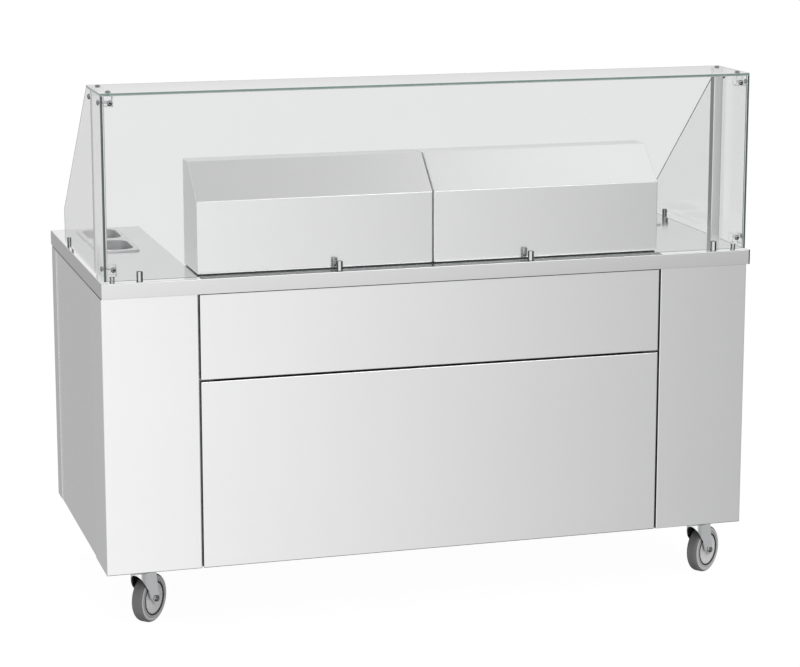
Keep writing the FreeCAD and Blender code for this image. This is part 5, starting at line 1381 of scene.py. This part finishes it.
class STATION_OT_castors(bpy.types.Operator):
    """Swivel castors: forks, wheel centres, tyres and brake pedals"""

    bl_idname = "station.castors"
    bl_label = "Castors"

    trail: length("Trail", 0.043, "Axle behind the swivel")
    crown_low: length("Crown", 0.1446, "Underside of a fork's crown")
    pivot_reach: length("Pivot", 0.064, "Pedal pin behind the swivel")
    pivot_height: length("Pivot height", 0.1315, "Height of the pin")
    boss: length("Boss", 0.0135, "Radius of a leg round the axle")
    front_rise: length("Front rise", 0.036, "How far the front's lower edge rises over the wheel")
    axle_radius: length("Axle", 0.0049, "Radius of the axle bolt")
    pin_radius: length("Pin", 0.0029, "Radius of the pedal's pin")
    ear: length("Ear", 0.008, "How far the sheet reaches round the pin")
    tread_depth: length("Tread depth", 0.0052, "Tread from the top of the tyre")
    pedal_half: length("Pedal", 0.018, "Half width of a pedal")
    pedal_length: length("Pedal length", 0.062, "Pedal from its pin to its edge")
    pedal_drop: length("Pedal drop", 0.010, "How far the pedal slopes down")
    rib_pitch: length("Rib pitch", 0.006, "Distance between the ribs")

    def execute(self, context):
        castor = context.scene.station_castor
        for word in CASTORS:
            swivel = JOINTS[f"{word}_swivel_turn"]["pos_m"]
            axle = JOINTS[f"{word}_wheel_spin"]["axis"]
            heading = math.atan2(-axle[0], axle[1])
            place = Matrix.Translation((swivel[0], swivel[1], 0)) @ Matrix.Rotation(heading, 4, "Z")
            across = place @ self.crosswise(self.trail, castor.wheel_radius)
            braked = word.startswith("back")
            self.fork(castor, word, place, braked)
            self.wheel(castor, word, across)
            self.tyre(castor, word, across)
            if braked:
                self.pedal(word, place)
        return {"FINISHED"}

    def crosswise(self, along, height):
        """Matrix that lays a turned shape across the castor, at a place behind the swivel."""
        return Matrix.Translation((along, 0, height)) @ Matrix.Rotation(QUARTER, 4, "Z")

    def fork(self, castor, word, place, braked):
        outer = castor.leg_inside + castor.leg_gauge
        bm = self.yoke(castor, outer, braked)
        disc = [(0, 0.0062), (0, 0.033), (0.0008, 0.0345), (0.002, 0.035), (0.0034, 0.0345), (0.004, 0.033)]
        crown = [(self.crown_low + up, radius) for up, radius in disc + [(0.004, 0.0062)]]
        add(bm, ring(crown), aimed((0, 0, 0), (0, 0, 1)))
        axle = self.crosswise(self.trail, castor.wheel_radius)
        add(bm, rod(-outer, outer, self.axle_radius, 1), axle)
        tip = [(0.0044, 0), (0.0044, 0.0046), (0.0048, 0.0046), (0.0056, 0.0042), (0.006, 0.0034), (0.006, 0)]
        for turn in (axle @ Matrix.Rotation(math.pi, 4, "Z"), axle):
            washer = [(outer, 0.005), (outer, 0.0088), (outer + 0.001, 0.0088), (outer + 0.001, 0.005)]
            add(bm, ring(washer, 0, 32), turn)
            add(bm, hexagon(0.0082, outer + 0.001, outer + 0.0048, 1), turn)
            add(bm, lathe([(outer + along, radius) for along, radius in tip], 1, 24), turn)
        if braked:
            pin = rod(-outer, outer, self.pin_radius, 1, 20)
            add(bm, pin, self.crosswise(self.pivot_reach, self.pivot_height))
        finishes = "bright_zinc bolt_zinc shaded_zinc"
        moved(bm, place)
        body, node = f"{word}_swivel", f"{word}_fork"
        make_piece(f"{word}_castor_fork", bm, body, finishes, node, edge=0.0006)

    def yoke(self, castor, outer, braked):
        """Pressed sheet of a fork: two legs joined by a rounded front, cut away over the wheel."""
        crown = self.crown_low
        front_edge = [(0.0, 0.0435), (0.0087, 0.053), (0.0135, 0.0625), (0.018, 0.0725)]
        leg = [(along, crown - below) for along, below in front_edge]
        for step in range(9):
            turn = math.radians(215 + step * 17)
            around = Vector((math.cos(turn), math.sin(turn))) * self.boss
            leg.append((self.trail + around.x, castor.wheel_radius + around.y))
        if braked:
            back = self.pivot_reach + self.ear
            leg += [(back, self.pivot_height - self.ear), (back, crown)]
        else:
            leg.append((self.trail, crown))
        bm = bmesh.new()
        front = []
        for step in range(17):
            turn = math.radians(90 + step * 11.25)
            along, across = outer * math.cos(turn), outer * math.sin(turn)
            low = leg[0][1] + self.front_rise * math.sin(math.pi * step / 16)
            front.append((bm.verts.new((along, across, crown)), bm.verts.new((along, across, low))))
        for (high, low), (next_high, next_low) in zip(front, front[1:]):
            bm.faces.new((high, low, next_low, next_high))
        for (high, low), across, way in ((front[0], outer, -1), (front[-1], -outer, 1)):
            outline = [high, low] + [bm.verts.new((along, across, up)) for along, up in leg[1:]]
            bm.faces.new(outline[::way])
        bm.normal_update()
        bmesh.ops.solidify(bm, geom=bm.faces[:], thickness=castor.leg_gauge)

        # Faces turned in towards the wheel are painted near black, as shade inside the fork
        def choose(normal, middle):
            outward = Vector((min(middle.x, 0.0), middle.y, 0.0))
            return 2 if normal.dot(outward) < -1e-4 else 0

        return mark(bm, choose)

    def wheel(self, castor, word, across):
        half, rim = castor.tyre_half, castor.rim_radius
        face = [(0.018, 0.0051), (0.018, 0.0105), (0.0165, 0.0125), (0.0138, 0.0150), (0.0130, 0.0190)]
        face += [(0.0128, 0.0300), (0.0136, 0.0385), (0.0150, 0.0408), (half, 0.0418), (half, rim)]
        bm = ring([(-along, radius) for along, radius in face] + face[::-1], steps=64)
        guard = [(-0.0015, 0.0400), (0.0006, 0.0404), (0.0006, 0.0450), (-0.0015, 0.0454)]
        for way in (-1, 1):
            add(bm, ring([(way * (half + out), radius) for out, radius in guard], 1, 64))
        moved(bm, across)
        finishes = "wheel_plastic guard_plastic"
        body, node = f"{word}_roller", f"{word}_wheel"
        make_piece(f"{word}_wheel_centre", bm, body, finishes, node, edge=0.0004)

    def tyre(self, castor, word, across):
        """Square ring with rounded shoulders, its sides paler than its tread."""
        half, rim, outer = castor.tyre_half, castor.rim_radius, castor.wheel_radius
        bm = ring([(-half, rim), (-half, outer), (half, outer), (half, rim)], steps=72)
        rounded(bm, [edge for edge in bm.edges if self.on_shoulder(edge, half, outer)], castor.shoulder, 7)

        def choose(normal, middle):
            return math.hypot(middle.y, middle.z) < outer - self.tread_depth and abs(middle.x) > half / 2

        moved(mark(bm, choose), across)
        finishes = "tread_rubber band_rubber"
        make_piece(f"{word}_castor_tyre", bm, f"{word}_roller", finishes, f"{word}_tyre")

    def on_shoulder(self, edge, half, outer):
        """Whether an edge runs round a shoulder of the square tyre."""
        ends = [vert.co for vert in edge.verts]
        level = abs(ends[0].x - ends[1].x) < NEAR and abs(abs(ends[0].x) - half) < CLOSE
        return level and all(math.hypot(end.y, end.z) > outer - CLOSE for end in ends)

    def pedal(self, word, place):
        """Bent plate with a brake nose below, a sleeve round its pin and five ribs for the shoe."""
        u, z = self.pivot_reach, self.pivot_height
        side = [(0, -0.002), (0.013, -0.0041), (0.013, -0.011), (0.025, -0.011), (0.025, -0.0060)]
        side += [(self.pedal_length, -0.012), (self.pedal_length, -0.008), (0, 0.002)]
        half = self.pedal_half
        bm = solid([(u + along, -half, z + up) for along, up in side], (0, 2 * half, 0))
        sleeve = [(-half, 0.0031), (-half, 0.005), (half, 0.005), (half, 0.0031)]
        add(bm, ring(sleeve, 0, 24), self.crosswise(u, z))
        slope = math.atan2(self.pedal_drop, self.pedal_length)
        for row in range(5):
            along = 0.034 + row * self.rib_pitch
            rib = block((-0.001, -half + 0.003, -0.0003), (0.001, half - 0.003, 0.0009), 1)
            seat = Matrix.Translation((u + along, 0, z + 0.002 - along * math.tan(slope)))
            add(bm, rib, seat @ Matrix.Rotation(slope, 4, "Y"))
        moved(bm, place)
        body, node = f"{word}_brake", f"{word}_brake_pedal"
        make_piece(f"{word}_foot_pedal", bm, body, "bright_zinc bolt_zinc", node, edge=0.0007)


class STATION_OT_stage(bpy.types.Operator):
    """Camera, lamps, pale floor and white surroundings"""

    bl_idname = "station.stage"
    bl_label = "Stage"

    def execute(self, context):
        stage = context.scene.station_stage
        context.scene.view_settings.view_transform = "Standard"
        self.camera(context, stage)
        self.lamp("key_softbox", (1.6, -5.2, 4.4), 2.4, stage.key)
        self.lamp("fill_softbox", (-3.8, -3.0, 3.6), 2.6, stage.fill)
        self.floor(stage)
        self.surroundings(context, stage)
        return {"FINISHED"}

    def camera(self, context, stage):
        data = bpy.data.cameras.new("photo_camera")
        data.sensor_width = 36.0
        data.lens = stage.lens
        data.shift_y = stage.shift
        camera = bpy.data.objects.new("photo_camera", data)
        camera.location = stage.camera_place
        camera.rotation_euler = (QUARTER - stage.tilt, 0, -stage.heading)
        context.scene.collection.objects.link(camera)
        context.scene.camera = camera

    def lamp(self, name, place, size, power):
        """Square softbox aimed at the middle of the station."""
        data = bpy.data.lights.new(name, "AREA")
        data.size = size
        data.energy = power
        lamp = bpy.data.objects.new(name, data)
        lamp.location = place
        lamp.rotation_euler = (Vector((0, 0, 0.6)) - Vector(place)).to_track_quat("-Z", "Y").to_euler()
        bpy.context.scene.collection.objects.link(lamp)

    def floor(self, stage):
        """Wide floor that is nearly all white to the camera, with a trace of shadow."""
        bm = bmesh.new()
        bmesh.ops.create_grid(bm, x_segments=1, y_segments=1, size=40.0)
        data = bpy.data.meshes.new("pale_floor")
        bm.to_mesh(data)
        bm.free()
        floor = bpy.data.objects.new("pale_floor", data)
        floor.visible_glossy = False
        bpy.context.scene.collection.objects.link(floor)
        material = bpy.data.materials.new("pale_floor")
        material.use_nodes = True
        tree = material.node_tree
        tree.nodes.remove(tree.nodes["Principled BSDF"])
        matt = add_node(tree, "ShaderNodeBsdfDiffuse")
        put(matt.inputs, {"Color": (0.95, 0.95, 0.95, 1)})
        white = add_node(tree, "ShaderNodeEmission")
        put(white.inputs, {"Strength": stage.floor})
        share = calculate(tree, "MULTIPLY", self.seen(tree), stage.unshaded)
        mix = add_node(tree, "ShaderNodeMixShader")
        put(mix.inputs, {0: share, 1: matt.outputs[0], 2: white.outputs[0]})
        put(tree.nodes["Material Output"].inputs, {"Surface": mix.outputs[0]})
        data.materials.append(material)

    def seen(self, tree):
        """One for light that reaches the camera, straight or through glass."""
        path = add_node(tree, "ShaderNodeLightPath").outputs
        return calculate(tree, "MAXIMUM", path["Is Camera Ray"], path["Is Transmission Ray"])

    def surroundings(self, context, stage):
        """White to the camera and through glass; a studio with softboxes to shiny metal."""
        world = bpy.data.worlds.new("studio")
        world.use_nodes = True
        context.scene.world = world
        tree = world.node_tree
        axes = add_node(tree, "ShaderNodeSeparateXYZ")
        put(axes.inputs, {0: add_node(tree, "ShaderNodeTexCoord").outputs["Generated"]})
        x, y, z = axes.outputs
        bearing = calculate(tree, "ARCTAN2", x, calculate(tree, "MULTIPLY", y, -1.0))
        turn = calculate(tree, "ADD", calculate(tree, "DIVIDE", bearing, math.tau), 0.5)
        walls = [(0.00, 0.54), (0.10, 0.50), (0.25, 0.80), (0.42, 1.10), (0.500, 1.26)]
        walls += [(0.525, 1.24), (0.535, 1.09), (0.550, 0.88), (0.560, 0.74), (0.570, 0.55)]
        walls += [(0.590, 0.44), (0.65, 0.42), (0.80, 0.55), (1.00, 0.54)]
        around = self.ramp(tree, turn, walls)
        halves = [calculate(tree, "MULTIPLY", way, 0.5) for way in (z, x)]
        rising, across = (calculate(tree, "ADD", half, 0.5) for half in halves)
        above = self.ramp(tree, rising, [(0.0, 0.7), (0.5, 0.92), (0.6, 1.0), (0.8, 0.92), (1.0, 0.88)])
        boxes = [(0.0, 0.80), (0.58, 0.72), (0.640, 0.80), (0.652, 1.06), (1.0, 1.08)]
        overhead = self.ramp(tree, across, boxes)
        sky = self.mix(tree, self.smooth(tree, z, 0.72, 0.88), above, overhead)
        level = scaled(tree, around, self.smooth(tree, z, -0.42, -0.78, 1.0, 0.15))
        studio = self.mix(tree, self.smooth(tree, z, 0.05, 0.17), level, sky)
        glossy = add_node(tree, "ShaderNodeLightPath").outputs["Is Glossy Ray"]
        shiny = self.mix(tree, glossy, (stage.ambient, stage.ambient, stage.ambient, 1), studio)
        whole = self.mix(tree, self.seen(tree), shiny, (1, 1, 1, 1))
        put(tree.nodes["Background"].inputs, {"Color": whole})

    def smooth(self, tree, value, start, end, low=0.0, high=1.0):
        """Smooth step of a value from low to high."""
        made = add_node(tree, "ShaderNodeMapRange", interpolation_type="SMOOTHSTEP")
        put(made.inputs, {"Value": value, "From Min": start, "From Max": end, "To Min": low, "To Max": high})
        return made.outputs[0]

    def mix(self, tree, factor, first, second):
        """Mix of two colours."""
        made = add_node(tree, "ShaderNodeMix", data_type="RGBA")
        put(made.inputs, {"Factor": factor, 6: first, 7: second})
        return made.outputs[2]

    def ramp(self, tree, factor, stops):
        """Grey ramp through (place, brightness) stops."""
        made = add_node(tree, "ShaderNodeValToRGB")
        points = made.color_ramp.elements
        points[0].position, points[1].position = stops[0][0], stops[-1][0]
        for place, _ in stops[1:-1]:
            points.new(place)
        for point, (_, grey) in zip(points, stops):
            point.color = (grey, grey, grey, 1)
        put(made.inputs, {0: factor})
        return made.outputs[0]


OPERATORS = (
    STATION_OT_stage,
    STATION_OT_carried_over,
    STATION_OT_worktop,
    STATION_OT_panels,
    STATION_OT_bay,
    STATION_OT_hoods,
    STATION_OT_filters,
    STATION_OT_panes,
    STATION_OT_glass_fittings,
    STATION_OT_pans,
    STATION_OT_doors,
    STATION_OT_controls,
    STATION_OT_castors,
)
SETTINGS = {
    "station_sheet": SheetSettings,
    "station_glass": GlassSettings,
    "station_castor": CastorSettings,
    "station_cook": CookSideSettings,
    "station_stage": StageSettings,
}


class STATION_PT_panel(bpy.types.Panel):
    """Steps that dress the cooking station"""

    bl_idname = "STATION_PT_panel"
    bl_label = "Cooking station"
    bl_space_type = "VIEW_3D"
    bl_region_type = "UI"
    bl_category = "Station"

    def draw(self, context):
        for operator in OPERATORS:
            self.layout.operator(operator.bl_idname)
        for word in SETTINGS:
            group = getattr(context.scene, word)
            box = self.layout.box()
            for name in group.bl_rna.properties.keys():
                if name not in {"rna_type", "name"}:
                    box.prop(group, name)


def register():
    for word, group in SETTINGS.items():
        bpy.utils.register_class(group)
        setattr(bpy.types.Scene, word, PointerProperty(type=group))
    for operator in OPERATORS:
        bpy.utils.register_class(operator)
    bpy.utils.register_class(STATION_PT_panel)


def unregister():
    bpy.utils.unregister_class(STATION_PT_panel)
    for operator in reversed(OPERATORS):
        bpy.utils.unregister_class(operator)
    for word, group in reversed(SETTINGS.items()):
        delattr(bpy.types.Scene, word)
        bpy.utils.unregister_class(group)


def main():
    register()
    bpy.ops.station.stage()
    bpy.ops.station.carried_over()
    bpy.ops.station.worktop()
    bpy.ops.station.panels()
    bpy.ops.station.bay()
    bpy.ops.station.hoods()
    bpy.ops.station.filters()
    bpy.ops.station.panes()
    bpy.ops.station.glass_fittings()
    bpy.ops.station.pans()
    bpy.ops.station.doors()
    bpy.ops.station.controls()
    bpy.ops.station.castors()
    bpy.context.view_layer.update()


if __name__ == "__main__":
    main()
